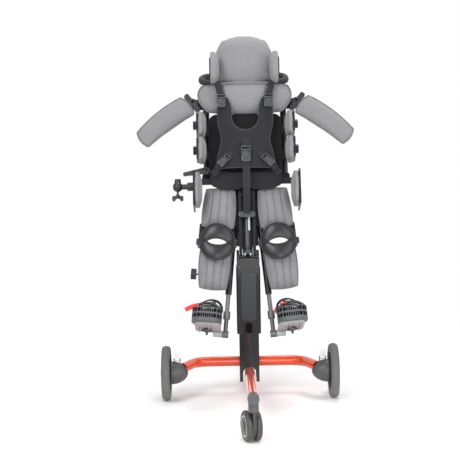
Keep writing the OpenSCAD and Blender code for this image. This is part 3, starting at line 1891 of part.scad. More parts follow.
leg_rail(1);  // leg_rail_right
leg_pads(-1);  // leg_pads_left
leg_pads(1);  // leg_pads_right
knee_cup(-1);  // knee_cup_left
knee_cup(1);  // knee_cup_right
foot_rod(-1);  // foot_rod_left
foot_rod(1);  // foot_rod_right
footplate(-1);  // footplate_left
footplate(1);  // footplate_right
sandal(-1);  // sandal_left
sandal(1);  // sandal_right
calf_knob();
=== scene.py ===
"""Looks of a child's standing frame: finishes, upholstery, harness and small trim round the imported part."""
import logging
import math
from dataclasses import dataclass, replace
from enum import Enum
from functools import lru_cache
from typing import ClassVar, Sequence

import bmesh
import bpy
import numpy as np
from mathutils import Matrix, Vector

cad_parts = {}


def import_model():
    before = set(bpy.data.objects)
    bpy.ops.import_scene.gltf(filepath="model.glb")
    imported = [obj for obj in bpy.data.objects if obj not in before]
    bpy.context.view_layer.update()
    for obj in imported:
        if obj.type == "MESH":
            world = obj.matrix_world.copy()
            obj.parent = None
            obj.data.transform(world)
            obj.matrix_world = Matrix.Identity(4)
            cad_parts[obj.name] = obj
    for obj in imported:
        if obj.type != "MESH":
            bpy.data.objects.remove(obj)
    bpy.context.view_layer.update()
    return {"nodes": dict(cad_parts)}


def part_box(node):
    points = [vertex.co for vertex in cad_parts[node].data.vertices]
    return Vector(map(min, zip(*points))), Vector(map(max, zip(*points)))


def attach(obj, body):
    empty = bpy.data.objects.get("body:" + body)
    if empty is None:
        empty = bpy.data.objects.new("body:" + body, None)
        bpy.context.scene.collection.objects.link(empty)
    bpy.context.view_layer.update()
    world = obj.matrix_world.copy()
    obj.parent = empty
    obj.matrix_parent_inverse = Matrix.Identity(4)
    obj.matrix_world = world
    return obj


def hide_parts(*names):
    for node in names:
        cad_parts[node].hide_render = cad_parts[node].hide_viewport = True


log = logging.getLogger("standing_frame")
Place = tuple[float, float, float]
Colour = tuple[float, float, float, float]
X, Y, Z = range(3)

# Frames at rest: angles in radians, places in millimetres
MM = 0.001
TILT = math.radians(20.0)
PIVOT = np.array((0.0, 105.0, 515.0))
LEG_SPREAD = math.radians(5.4)
LEG_HINGE = np.array((50.0, 0.0, 125.0))
ARM_SLOPE = math.radians(51.8)
ARM_HINGE = np.array((200.0, 0.0, 612.0))

# Sewn and stuffed covers: lengths in millimetres
SEAM_REACH = 3.2
GRAIN = 5.0
MOST_SWELL = 3.5
HELD_DEPTH = 3.0
BLOW_FRAMES = 20
BLOW_PRESSURE = 4.0


class Side(Enum):
    """The two sides of the frame as seen by a viewer who faces the user."""
    LEFT = -1
    RIGHT = 1

    @property
    def word(self) -> str:
        """Name of the side as the nodes and bodies use it."""
        return self.name.lower()


class Facing(Enum):
    """Which way the crowned face of a pad looks in its assembly."""
    FRONT = 0
    INWARD = 1


def rgb(red: int, green: int, blue: int) -> Colour:
    """Linear colour with full alpha from 8-bit display values."""
    c = np.array((red, green, blue)) / 255.0
    c = np.where(c <= 0.04045, c / 12.92, ((c + 0.055) / 1.055) ** 2.4)
    return (float(c[0]), float(c[1]), float(c[2]), 1.0)


# Frames: points in millimetres to the row frame in metres

def spun(p: np.ndarray, angle: float, a: int, b: int) -> np.ndarray:
    """Points turned in the plane of axes a and b: to a cos - b sin along a, a sin + b cos along b."""
    c, s = math.cos(angle), math.sin(angle)
    out = np.array(p, dtype=float)
    out[..., a] = p[..., a] * c - p[..., b] * s
    out[..., b] = p[..., a] * s + p[..., b] * c
    return out


def mirrored(p: np.ndarray, side: Side) -> np.ndarray:
    """Points of the right side moved to the named side."""
    return p * np.array((side.value, 1.0, 1.0))


def body_to_row(p: np.ndarray) -> np.ndarray:
    """Points of the tilting body (y to the back, z along the spine): turned back, moved to the tilt pin."""
    return (spun(p, -TILT, Y, Z) + PIVOT) * MM


def limb_to_row(p: np.ndarray, side: Side, slope: float, hinge: np.ndarray) -> np.ndarray:
    """Points of a limb (x outward, z up to its hinge): sloped outward, set at the hinge on the body."""
    return body_to_row(mirrored(spun(p, slope, X, Z) + hinge, side))


# Surfaces as whole arrays

@dataclass
class Shell:
    """Points and faces of one closed surface, in the frame of whoever made it."""
    points: np.ndarray
    faces: list[tuple[int, ...]]

    def moved(self, points: np.ndarray) -> "Shell":
        """The same faces on other points."""
        return Shell(points, self.faces)

    def turned(self, angle: float, a: int, b: int, shift: Sequence[float] = (0.0, 0.0, 0.0)) -> "Shell":
        """The shell turned in the plane of two axes and then shifted."""
        return self.moved(spun(self.points, angle, a, b) + np.array(shift))

    def on(self, side: Side) -> "Shell":
        """The shell of the right side on the named side."""
        return self.moved(mirrored(self.points, side))


def ringed(grid: np.ndarray, closed: bool = False) -> Shell:
    """Closed surface from rings of points: quads between rings, caps on both ends.

    Args:
        grid: points of shape rings, points in a ring, 3.
        closed: True where the last ring joins the first, as on a loop.
    Returns:
        The shell.
    """
    rows, ring = grid.shape[:2]
    total = rows * ring
    i, j = np.meshgrid(np.arange(rows if closed else rows - 1), np.arange(ring), indexing="ij")
    k = (j + 1) % ring
    quads = np.stack((i * ring + j, i * ring + k, (i + 1) * ring + k, (i + 1) * ring + j), -1) % total
    faces = [tuple(q) for q in quads.reshape(-1, 4).tolist()]
    if not closed:
        faces += [tuple(range(ring - 1, -1, -1)), tuple(range(total - ring, total))]
    return Shell(grid.reshape(-1, 3), faces)


def superpower(angle: np.ndarray, power: float) -> tuple[np.ndarray, np.ndarray]:
    """Unit superellipse: sign times the cosine and sine to the power 2 / power."""
    c, s = np.cos(angle), np.sin(angle)
    return np.sign(c) * np.abs(c) ** (2 / power), np.sign(s) * np.abs(s) ** (2 / power)


def circle(count: int) -> np.ndarray:
    """Even angles round a full circle."""
    return np.linspace(0, 2 * np.pi, count, endpoint=False)


def swept(path: np.ndarray, across: Sequence[float], half_w: float, half_t: float, power: float = 4.0,
          ring: int = 16, closed: bool = False) -> Shell:
    """A superellipse profile carried along a path.

    Each ring is the path point plus the profile's width along the across direction and its
    thickness along the cross product of the path's tangent and that direction.

    Args:
        path: points along the middle line.
        across: direction of the width.
        half_w: half of the width.
        half_t: half of the thickness.
        power: 2 gives an ellipse, more gives a flatter band.
        ring: points in each profile.
        closed: True where the path is a loop.
    Returns:
        The shell.
    """
    ahead = np.roll(path, -1, 0) - np.roll(path, 1, 0) if closed else np.gradient(path, axis=0)
    ahead /= np.linalg.norm(ahead, axis=1, keepdims=True)
    wide = np.broadcast_to(np.asarray(across, dtype=float), path.shape)
    wide = wide - ahead * (wide * ahead).sum(1, keepdims=True)
    wide /= np.linalg.norm(wide, axis=1, keepdims=True)
    deep = np.cross(ahead, wide)
    w, t = superpower(circle(ring), power)
    grid = path[:, None] + wide[:, None] * (w * half_w)[:, None] + deep[:, None] * (t * half_t)[:, None]
    return ringed(grid, closed)


def cord(path: np.ndarray, radius: float, closed: bool = False) -> Shell:
    """A round cord along a path."""
    return swept(path, (0, 1, 0), radius, radius, 2, 8, closed)


def block(centre: Sequence[float], half: Sequence[float], power: float = 5.0, rings: int = 14,
          ring: int = 28) -> Shell:
    """Rounded block: a superellipsoid on two angles, closed at both poles.

    Args:
        centre: middle of the block.
        half: half sizes along x, y and z.
        power: 2 gives an ellipsoid, more gives a squarer block.
        rings: rings between the poles.
        ring: points in each ring.
    Returns:
        The shell.
    """
    cl, sl = superpower(np.linspace(-np.pi / 2, np.pi / 2, rings + 2)[1:-1], power)
    co, so = superpower(circle(ring), power)
    h = np.asarray(half, dtype=float)
    grid = np.stack((cl[:, None] * co[None] * h[0], cl[:, None] * so[None] * h[1],
                     np.repeat(sl[:, None], ring, 1) * h[2]), -1)
    return ringed(grid + np.asarray(centre, dtype=float))


@dataclass(frozen=True)
class Pad:
    """Sizes of one cushion in millimetres, in its own frame: back on y = 0, crowned face to -y.

    The plan is a rounded square: a border point (u, v) of the unit square goes to
    u * sqrt(1 - k v v / 2) * half width and v * sqrt(1 - k u u / 2) * half height. The face is
    the edge depth plus crown * (1 - u^4) * (1 - v^4), less a groove at each seam. The rim is a
    half round from the face to the flat back.
    """
    low: float
    high: float
    tall: float
    edge: float
    crown: float
    round_share: float = 0.5
    bend: float = 0.0
    seams: tuple[float, ...] = ()
    groove: float = 3.0
    face_share: float = 0.94
    around: int = 160
    rings: int = 34
    facing: Facing = Facing.FRONT

    def half_width(self, v: np.ndarray) -> np.ndarray:
        """Half of the width at a height, straight from the foot to the top."""
        return (self.low + (self.high - self.low) * (v + 1) / 2) / 2

    def plan(self, u: np.ndarray, v: np.ndarray) -> tuple[np.ndarray, np.ndarray]:
        """Plan place of a point of the unit square, as the class formula says."""
        x = u * np.sqrt(1 - self.round_share * v * v / 2) * self.half_width(v) + self.bend * (1 - v * v)
        return x, v * np.sqrt(1 - self.round_share * u * u / 2) * self.tall / 2

    def dip(self, u: np.ndarray) -> np.ndarray:
        """Share of the groove at a place across: the highest of the bell curves round the seams."""
        dip = np.zeros_like(u)
        for place in self.seams:
            dip = np.maximum(dip, np.exp(-((u - place) * self.low / 2 / SEAM_REACH) ** 2))
        return dip

    def depth(self, u: np.ndarray, v: np.ndarray) -> np.ndarray:
        """Depth of the face at a point of the unit square, with its seams sewn in."""
        rise = self.crown * (1 - u ** 4) * (1 - v ** 4)
        soft = np.clip((1 - np.maximum(np.abs(u), np.abs(v))) * 6, 0, 1)
        return self.edge + rise - self.groove * self.dip(u) * (0.35 + 0.65 * soft)

    def sewn(self, p: np.ndarray) -> np.ndarray:
        """Points of the blown cover with each seam drawn in across the face by its groove depth."""
        v = np.clip(p[:, Z] / (self.tall / 2 * self.face_share), -1, 1)
        u = (p[:, X] - self.bend * (1 - v * v)) / (self.half_width(v) * self.face_share)
        face = np.clip((-p[:, Y] - self.edge * 0.7) / (self.edge * 0.3), 0, 1)
        out = p.copy()
        out[:, Y] += self.groove * self.dip(u) * face
        return out

    def border(self) -> tuple[np.ndarray, np.ndarray]:
        """Border of the unit square by angle: the direction divided by its larger part."""
        a = circle(self.around)
        size = np.maximum(np.abs(np.cos(a)), np.abs(np.sin(a)))
        return np.cos(a) / size, np.sin(a) / size

    def shell(self) -> Shell:
        """The closed cushion: rings from the middle of the face over the rim to the back."""
        bu, bv = self.border()
        rho = np.sin(np.linspace(0.02, np.pi / 2, self.rings))
        u, v = rho[:, None] * bu, rho[:, None] * bv
        x, z = self.plan(u, v)
        face = np.stack((x * self.face_share, -self.depth(u, v), z * self.face_share), -1)
        turn = np.linspace(0, np.pi, 11)[1:, None]
        ex, ez = self.plan(bu, bv)
        share = 1.0 - (1 - self.face_share) * (1 - np.sin(turn))
        edge = self.depth(bu, bv)
        rim = np.stack((ex * share, -edge * (1 + np.cos(turn)) / 2, ez * share), -1)
        inner = np.array((0.8, 0.5, 0.04))[:, None] * self.face_share
        back = np.stack((ex * inner, np.zeros((len(inner), self.around)), ez * inner), -1)
        return ringed(np.concatenate((face, rim, back)))

    def piping(self, radius: float) -> Shell:
        """Piping: a round cord carried along the seam between face and rim."""
        bu, bv = self.border()
        x, z = self.plan(bu, bv)
        share = (1 + self.face_share) / 2
        return cord(np.stack((x * share, -self.depth(bu, bv) - radius * 0.1, z * share), -1), radius, True)

    def placed(self, shell: Shell, place: Place) -> Shell:
        """A shell of the pad's frame at a place of the assembly; inward is a quarter turn about z."""
        p = shell.points
        if self.facing is Facing.INWARD:
            p = np.stack((p[:, Y], -p[:, X], p[:, Z]), -1)
        return shell.moved(p + np.array(place))


# Blender objects

def linked(name: str, data: bpy.types.ID) -> bpy.types.Object:
    """A new object in the scene."""
    obj = bpy.data.objects.new(name, data)
    bpy.context.scene.collection.objects.link(obj)
    return obj


def meshed(name: str, points: np.ndarray, faces: list[tuple[int, ...]]) -> bpy.types.Object:
    """A new mesh object with every face turned outward."""
    mesh = bpy.data.meshes.new(name)
    mesh.from_pydata(points.tolist(), [], faces)
    mesh.update()
    work = bmesh.new()
    work.from_mesh(mesh)
    bmesh.ops.recalc_face_normals(work, faces=work.faces)
    work.to_mesh(mesh)
    work.free()
    return linked(name, mesh)


def vertices(mesh: bpy.types.Mesh) -> np.ndarray:
    """Points of a mesh in one array."""
    flat = np.empty(len(mesh.vertices) * 3)
    mesh.vertices.foreach_get("co", flat)
    return flat.reshape(-1, 3)


def evaluated(obj: bpy.types.Object) -> bpy.types.Object:
    """The object with its modifiers at the present frame."""
    return obj.evaluated_get(bpy.context.evaluated_depsgraph_get())


@lru_cache(maxsize=None)
def stuffed(pad: Pad) -> Shell:
    """The cushion blown up as sewn cloth: a short cloth run under inner pressure, movement capped.

    The plain cushion is remeshed in even cells and its back held, some frames of pressure push the
    cover out, each point keeps at most the largest swell, and then the seams are drawn in by the
    cushion's own groove formula.

    Args:
        pad: the cushion.
    Returns:
        The shell in the cushion's own frame, in millimetres.
    """
    scene = bpy.context.scene
    plain_shell = replace(pad, seams=()).shell()
    obj = meshed("cover", plain_shell.points * MM, plain_shell.faces)
    cells = obj.modifiers.new("Cells", "REMESH")
    cells.mode = "VOXEL"
    cells.voxel_size = GRAIN * MM
    even = bpy.data.meshes.new_from_object(evaluated(obj))
    obj.modifiers.clear()
    obj.data = even
    rest = vertices(even)
    held = obj.vertex_groups.new(name="held")
    held.add(np.flatnonzero(rest[:, Y] > -HELD_DEPTH * MM).tolist(), 1.0, "REPLACE")
    cloth = obj.modifiers.new("Cloth", "CLOTH")
    cloth.settings.use_pressure = True
    cloth.settings.uniform_pressure_force = BLOW_PRESSURE
    cloth.settings.vertex_group_mass = held.name
    cloth.settings.effector_weights.gravity = 0.0
    cloth.point_cache.frame_start = 1
    cloth.point_cache.frame_end = BLOW_FRAMES
    for step in range(1, BLOW_FRAMES + 1):
        scene.frame_set(step)
    move = (vertices(evaluated(obj).data) - rest) / MM
    scene.frame_set(1)
    size = np.linalg.norm(move, axis=1, keepdims=True)
    points = rest / MM + move * np.minimum(1.0, MOST_SWELL / np.maximum(size, 1e-6))
    obj.modifiers.clear()
    even.vertices.foreach_set("co", (points * MM).ravel())
    even.update()
    smooth = obj.modifiers.new("Smooth", "SUBSURF")
    smooth.levels = smooth.render_levels = 1
    fine = bpy.data.meshes.new_from_object(evaluated(obj))
    faces = [tuple(p.vertices) for p in fine.polygons]
    bpy.data.objects.remove(obj)
    return Shell(pad.sewn(vertices(fine) / MM), faces)


# Shared effects as node groups: masks and values only

class NodeDesk:
    """One node tree while its nodes are laid out."""

    def __init__(self, tree: bpy.types.NodeTree) -> None:
        """Keeps the tree."""
        self.tree = tree

    def feed(self, target: bpy.types.NodeSocket, value: object) -> None:
        """Links a socket to the target, or sets a constant on it."""
        if isinstance(value, bpy.types.NodeSocket):
            self.tree.links.new(value, target)
        else:
            target.default_value = value

    def add(self, kind: str, inputs: dict[str | int, object] | None = None,
            **settings: object) -> bpy.types.Node:
        """Adds a shader node.

        Args:
            kind: type of the node, without the words that all types start with.
            inputs: socket or constant for each input, by name or place.
            settings: properties of the node, set before its inputs.
        Returns:
            The node.
        """
        node = self.tree.nodes.new("ShaderNode" + kind)
        for key, value in settings.items():
            setattr(node, key, value)
        for key, value in (inputs or {}).items():
            self.feed(node.inputs[key], value)
        return node

    def calc(self, operation: str, a: object, b: object) -> bpy.types.NodeSocket:
        """Result of a math node on sockets or numbers."""
        return self.add("Math", {0: a, 1: b}, operation=operation).outputs[0]


class Effect(NodeDesk):
    """One node group that gives values by the place on the surface."""

    def __init__(self, name: str, key: str, level: float, outputs: Sequence[str]) -> None:
        """Makes the group with a vector input, the float input key at a level, and float outputs."""
        super().__init__(bpy.data.node_groups.new(name, "ShaderNodeTree"))
        face = self.tree.interface
        face.new_socket("Vector", in_out="INPUT", socket_type="NodeSocketVector")
        face.new_socket(key, in_out="INPUT", socket_type="NodeSocketFloat").default_value = level
        for word in outputs:
            face.new_socket(word, in_out="OUTPUT", socket_type="NodeSocketFloat")
        source = self.tree.nodes.new("NodeGroupInput")
        self.place, self.level = source.outputs["Vector"], source.outputs[key]
        self.sink = self.tree.nodes.new("NodeGroupOutput")

    def axes(self) -> dict[str, bpy.types.NodeSocket]:
        """The three coordinates of the place."""
        cut = self.add("SeparateXYZ", {0: self.place})
        return {axis: cut.outputs[axis] for axis in "XYZ"}

    def noise(self, scale: float, detail: float, rough: float = 0.5) -> bpy.types.NodeSocket:
        """A noise of the place."""
        values = {"Vector": self.place, "Scale": scale, "Detail": detail, "Roughness": rough}
        return self.add("TexNoise", values).outputs["Fac"]

    def gives(self, **outputs: bpy.types.NodeSocket) -> bpy.types.NodeTree:
        """Links the results to the outputs; gives the finished group."""
        for key, socket in outputs.items():
            self.feed(self.sink.inputs[key], socket)
        return self.tree


class Effects:
    """The node groups that the finishes share."""

    def __init__(self) -> None:
        """Makes each group once."""
        self.weave = self.make_weave()
        self.grain = self.make_grain()
        self.dust = self.make_dust()

    def make_weave(self) -> bpy.types.NodeTree:
        """Woven cloth: two crossing bands of threads and a soft mottle."""
        fx = Effect("weave", "Pitch", 900.0, ("Thread", "Mottle"))
        x, y, z = [fx.calc("SINE", fx.calc("MULTIPLY", at, fx.level), 0.0) for at in fx.axes().values()]
        thread = fx.calc("ADD", fx.calc("MULTIPLY", x, z), fx.calc("MULTIPLY", y, 0.4))
        return fx.gives(Thread=thread, Mottle=fx.noise(38.0, 6.0, 0.6))

    def make_grain(self) -> bpy.types.NodeTree:
        """Moulded grain: a fine noise for the relief and a broad one for the sheen."""
        fx = Effect("grain", "Amount", 1.0, ("Relief", "Broad"))
        relief = fx.calc("MULTIPLY", fx.noise(650.0, 3.0), fx.level)
        return fx.gives(Relief=relief, Broad=fx.noise(9.0, 4.0))

    def make_dust(self) -> bpy.types.NodeTree:
        """Dust that thins with height above the floor, broken up by noise."""
        fx = Effect("floor_dust", "Amount", 0.5, ("Mask",))
        low = fx.calc("SUBTRACT", 1.0, fx.calc("MULTIPLY", fx.axes()["Z"], 6.0))
        held = fx.add("Clamp", {0: low}).outputs[0]
        broken = fx.calc("MULTIPLY", held, fx.noise(60.0, 8.0, 0.7))
        return fx.gives(Mask=fx.calc("MULTIPLY", broken, fx.level))


class MaterialDesk(NodeDesk):
    """One material while its nodes are laid out."""

    def __init__(self, name: str) -> None:
        """Starts a material with a Principled shader and object coordinates."""
        self.material = bpy.data.materials.new(name)
        self.material.use_nodes = True
        super().__init__(self.material.node_tree)
        self.shader = self.tree.nodes["Principled BSDF"]
        self.coords = self.add("TexCoord").outputs["Object"]

    def group(self, tree: bpy.types.NodeTree, **values: float) -> bpy.types.Node:
        """Adds a shared effect on the object coordinates."""
        return self.add("Group", {"Vector": self.coords, **values}, node_tree=tree)

    def colour(self, mask: bpy.types.NodeSocket, a: Colour, b: Colour) -> None:
        """Sends the colour between two colours, by a mask, into the shader."""
        mix = self.add("Mix", {"Factor": mask, "A": a, "B": b}, data_type="RGBA")
        self.feed(self.shader.inputs["Base Color"], mix.outputs["Result"])

    def uneven(self, mask: bpy.types.NodeSocket, low: float, high: float) -> None:
        """Sends a roughness between two values, by a mask, into the shader."""
        span = self.add("MapRange", {"Value": mask, "To Min": low, "To Max": high})
        self.feed(self.shader.inputs["Roughness"], span.outputs["Result"])

    def relief(self, height: bpy.types.NodeSocket, strength: float, distance: float) -> None:
        """Bumps the shader's normal by a height."""
        bump = self.add("Bump", {"Strength": strength, "Distance": distance, "Height": height})
        self.feed(self.shader.inputs["Normal"], bump.outputs["Normal"])

    def fixed(self, **values: object) -> None:
        """Sets constants on the shader's own sockets, named with underscores for blanks."""
        for key, value in values.items():
            self.shader.inputs[key.replace("_", " ")].default_value = value


def shade(colour: Colour, by: float) -> Colour:
    """A colour made lighter or darker by a factor."""
    return (min(1.0, colour[0] * by), min(1.0, colour[1] * by), min(1.0, colour[2] * by), 1.0)


@dataclass(frozen=True)
class Enamel:
    """Sprayed paint: a smooth clear skin, faint orange peel, a trace of dust low down."""
    name: str
    colour: Colour
    rough: float = 0.28
    coat: float = 0.6
    dust: float = 0.25

    def build(self, fx: Effects) -> bpy.types.Material:
        """Makes the material."""
        desk = MaterialDesk(self.name)
        broad = desk.group(fx.grain).outputs["Broad"]
        desk.colour(desk.group(fx.dust, Amount=self.dust).outputs["Mask"], self.colour, rgb(150, 146, 140))
        desk.uneven(broad, self.rough * 0.8, self.rough * 1.2)
        desk.relief(broad, 0.03, 0.002)
        desk.fixed(Coat_Weight=self.coat, Coat_Roughness=0.05, Specular_IOR_Level=0.15)
        return desk.material


@dataclass(frozen=True)
class TwoTone:
    """Tube in the low colour up to a level in metres and the high colour above it."""
    name: str
    low: Colour
    high: Colour
    level: float
    rough: float = 0.3

    def build(self, fx: Effects) -> bpy.types.Material:
        """Makes the material: the two colours meet within a millimetre of the level."""
        desk = MaterialDesk(self.name)
        height = desk.add("SeparateXYZ", {0: desk.coords}).outputs["Z"]
        step = desk.add("MapRange", {"Value": height, "From Min": self.level - MM,
                                     "From Max": self.level + MM})
        desk.colour(step.outputs["Result"], self.low, self.high)
        desk.uneven(desk.group(fx.grain).outputs["Broad"], self.rough * 0.8, self.rough * 1.2)
        desk.fixed(Specular_IOR_Level=0.4)
        return desk.material


@dataclass(frozen=True)
class Moulding:
    """Moulded plastic or rubber: fine grain, slightly uneven sheen."""
    name: str
    colour: Colour
    rough: float = 0.5
    grain: float = 0.12
    dust: float = 0.3
    glow: float = 0.0
    gloss: float = 0.4

    def build(self, fx: Effects) -> bpy.types.Material:
        """Makes the material."""
        desk = MaterialDesk(self.name)
        grain = desk.group(fx.grain)
        desk.colour(desk.group(fx.dust, Amount=self.dust).outputs["Mask"], self.colour, rgb(165, 160, 152))
        desk.uneven(grain.outputs["Broad"], self.rough * 0.85, self.rough * 1.15)
        desk.relief(grain.outputs["Relief"], self.grain, 0.0004)
        desk.fixed(Specular_IOR_Level=self.gloss, Subsurface_Weight=self.glow, Subsurface_Scale=0.01)
        return desk.material


@dataclass(frozen=True)
class Cloth:
    """Woven cover: crossing threads, soft mottle and a pale nap at grazing light."""
    name: str
    colour: Colour
    pitch: float = 2600.0
    relief: float = 0.35
    nap: float = 0.25

    def build(self, fx: Effects) -> bpy.types.Material:
        """Makes the material."""
        desk = MaterialDesk(self.name)
        weave = desk.group(fx.weave, Pitch=self.pitch)
        desk.colour(weave.outputs["Mottle"], shade(self.colour, 0.86), shade(self.colour, 1.14))
        desk.relief(weave.outputs["Thread"], self.relief, 0.0005)
        desk.fixed(Roughness=0.88, Sheen_Weight=self.nap, Sheen_Roughness=0.5, Specular_IOR_Level=0.25)
        return desk.material


@dataclass(frozen=True)
class Metal:
    """Bare or plated metal with a brushed unevenness."""
    name: str
    colour: Colour
    rough: float = 0.35
    metal: float = 1.0

    def build(self, fx: Effects) -> bpy.types.Material:
        """Makes the material."""
        desk = MaterialDesk(self.name)
        grain = desk.group(fx.grain)
        desk.colour(grain.outputs["Broad"], shade(self.colour, 0.93), shade(self.colour, 1.05))
        desk.uneven(grain.outputs["Broad"], self.rough * 0.8, self.rough * 1.25)
        desk.relief(grain.outputs["Relief"], 0.03, 0.0003)
        desk.fixed(Metallic=self.metal)
        return desk.material


class Palette:
    """Every finish of the frame, made once and looked up by name."""

    FINISHES: ClassVar[tuple] = (
        Enamel("orange_paint", rgb(214, 62, 6), 0.3, 0.9),
        TwoTone("hoop_paint", rgb(28, 28, 30), rgb(226, 66, 6), 1.112),
        Enamel("black_paint", rgb(27, 27, 29), 0.36, 0.25),
        Moulding("dark_casting", rgb(66, 69, 71), 0.4, 0.1),
        Moulding("black_plastic", rgb(36, 36, 38), 0.4, 0.12),
        # Back plate: black plastic made darker than the others, as painted shade of the deep gap behind the
        # vest and pads
        Moulding("plate_black", rgb(21, 21, 23), 0.5, 0.15, gloss=0.12),
        Moulding("tyre_rubber", rgb(82, 82, 84), 0.6, 0.2, 0.4),
        Moulding("caster_rubber", rgb(38, 38, 40), 0.45, 0.12, 0.3),
        Moulding("white_plastic", rgb(228, 230, 230), 0.28, 0.04, 0.1, 0.25),
        Moulding("foam_grip", rgb(48, 48, 50), 0.85, 0.35),
        Moulding("buckle_black", rgb(64, 65, 67), 0.26, 0.08),
        Moulding("sandal_grey", rgb(80, 82, 84), 0.5, 0.15),
        # Near-black: painted shade inside the sandal slots and the column window, and the own colour of the
        # sandal's black foam liner
        Moulding("slot_black", rgb(12, 12, 13), 0.8, 0.1, 0.1, gloss=0.08),
        Moulding("tab_red", rgb(228, 44, 44), 0.4, 0.06),
        Moulding("panel_blue_grey", rgb(24, 27, 34), 0.3, 0.06),
        Moulding("cylinder_grey", rgb(58, 60, 62), 0.3, 0.05),
        Cloth("grey_fabric", rgb(126, 126, 128), 2600.0, 0.18, 0.18),
        Cloth("grey_piping", rgb(112, 112, 115), 3600.0),
        Cloth("black_fabric", rgb(32, 32, 35), 2400.0, 0.3, 0.2),
        Cloth("dark_piping", rgb(54, 54, 58), 3600.0, 0.3, 0.25),
        Cloth("black_webbing", rgb(41, 41, 44), 3200.0, 0.6, 0.15),
        Metal("silver_metal", rgb(162, 163, 165), 0.5, 0.2),
        Metal("rod_grey", rgb(98, 99, 101), 0.4, 0.6),
        Moulding("black_vinyl", rgb(24, 24, 27), 0.34, 0.2),
        Metal("steel_rod", rgb(205, 206, 208), 0.2),
        Metal("screw_dark", rgb(64, 64, 68), 0.35, 0.8),
    )

    def __init__(self) -> None:
        """Builds each finish on the shared effects."""
        fx = Effects()
        self.found = {f.name: f.build(fx) for f in self.FINISHES}

    def __getitem__(self, name: str) -> bpy.types.Material:
        """Finish by name."""
        return self.found[name]


@dataclass
class Dresser:
    """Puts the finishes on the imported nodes, which are listed here without their side."""
    nodes: dict[str, bpy.types.Object]
    palette: Palette

    NODES: ClassVar[dict[str, tuple[str, ...]]] = {
        "orange_paint": ("crossbar", "base_legs"),
        "hoop_paint": ("back_hoop",),
        "plate_black": ("back_plate",),
        "black_paint": ("inner_column", "outer_column", "column_head", "spine_rails", "head_post", "leg_rail",
                        "chest_brackets", "hip_bracket"),
        "dark_casting": ("leg_ends", "hub_domes", "rim", "lift_cylinder"),
        "cylinder_grey": ("strut_cylinder",),
        "sandal_grey": ("sandal",),
        "black_plastic": ("arm_bracket", "release_lever", "accessory_clamp", "wing_screw", "calf_knob",
                          "front_caster_hood", "rear_caster_hood"),
        "caster_rubber": ("front_caster_wheels", "rear_caster_wheels"),
        "rod_grey": ("foot_rod",),
        "silver_metal": ("footplate",),
        "steel_rod": ("lift_rod",),
        "screw_dark": ("strut_rod",),
        "tyre_rubber": ("tyre",),
        "white_plastic": ("brake_pedal",),
        "foam_grip": ("push_handle",),
    }

    def dress(self) -> None:
        """Gives each node its finish."""
        chosen = {node: key for key, names in self.NODES.items() for node in names}
        for name, obj in self.nodes.items():
            key = chosen.get(name.removesuffix("_left").removesuffix("_right"))
            if key is None:
                log.info("node %s waits for a new piece", name)
                continue
            for place in obj.material_slots:
                place.material = self.palette[key]
            log.info("node %s in %s", name, key)


# Sub-assemblies, sizes in millimetres

@dataclass
class Assembly:
    """Sub-assembly whose pieces share the finishes and one frame: the tilting body's, or its own."""
    palette: Palette

    def to_row(self, p: np.ndarray) -> np.ndarray:
        """Points of the assembly's frame in the row frame."""
        return body_to_row(p)

    def piece(self, name: str, shells: Sequence[Shell], body: str, finish: str, slot: str, node: str = "",
              fill: float = 0.0) -> None:
        """Puts shells into one smooth mesh object that rides on a body.

        Args:
            name: name of the piece.
            shells: closed surfaces in the assembly's frame.
            body: CAD body that carries the piece.
            finish: name of the finish.
            slot: material slot of the record; not used.
            node: CAD node that the piece stands for, if any.
            fill: how full a padded piece is, 0 for a piece that isn't padded; not used.
        """
        first = np.cumsum([0] + [len(s.points) for s in shells])
        faces = [tuple(v + int(base) for v in f) for s, base in zip(shells, first) for f in s.faces]
        obj = meshed(name, self.to_row(np.concatenate([s.points for s in shells])), faces)
        obj.data.polygons.foreach_set("use_smooth", [True] * len(faces))
        obj.data.materials.append(self.palette[finish])
        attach(obj, body)
        if node:
            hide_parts(node)
        log.info("piece %s on %s: %d faces", name, body, len(faces))

    def cushions(self, name: str, body: str, node: str, fill: float,
                 pads: Sequence[tuple[Pad, Place]]) -> None:
        """Makes stuffed pads at their places as one piece in grey cloth."""
        shells = [pad.placed(stuffed(pad), place) for pad, place in pads]
        self.piece(name, shells, body, "grey_fabric", "grey_fabric", node, fill)

    def piping(self, name: str, body: str, radius: float, pads: Sequence[tuple[Pad, Place]]) -> None:
        """Makes the piping of pads at their places as one piece."""
        shells = [pad.placed(pad.piping(radius), place) for pad, place in pads]
        self.piece(name, shells, body, "grey_piping", "grey_fabric")


@dataclass
class LegAssembly(Assembly):
    """Sub-assembly in the frame of one leg."""
    side: Side

    def to_row(self, p: np.ndarray) -> np.ndarray:
        """Points of the leg in the row frame."""
        return limb_to_row(p, self.side, LEG_SPREAD, LEG_HINGE)


@dataclass
class HeadSupport(Assembly):
    """Head pad, the roll below it and the two side wings."""
    pad_place: Place = (0.0, -31.3, 777.0)
    roll_place: Place = (0.0, -49.0, 675.5)
    roll_half: Place = (106.0, 9.0, 10.0)
    wing_place: Place = (129.7, -104.0, 722.0)

    def build(self) -> None:
        """Builds the pad, the roll and both wings."""
        pad = Pad(254, 212, 200, 26, 26, 0.7, face_share=0.93)
        self.cushions("head_cushion", "headrest", "head_pad", 0.8, [(pad, self.pad_place)])
        roll = block(self.roll_place, self.roll_half, 3.0, 20, 32)
        self.piece("neck_roll", [roll], "tilt_frame", "grey_fabric", "grey_fabric", fill=0.6)
        wing = Pad(84, 84, 126, 20, 13, 0.75, facing=Facing.INWARD)
        shell = wing.placed(stuffed(wing), self.wing_place)
        self.piece("head_wing_cushions", [shell.on(s) for s in Side], "headrest", "grey_fabric", "grey_fabric",
                   "head_wings", 0.7)


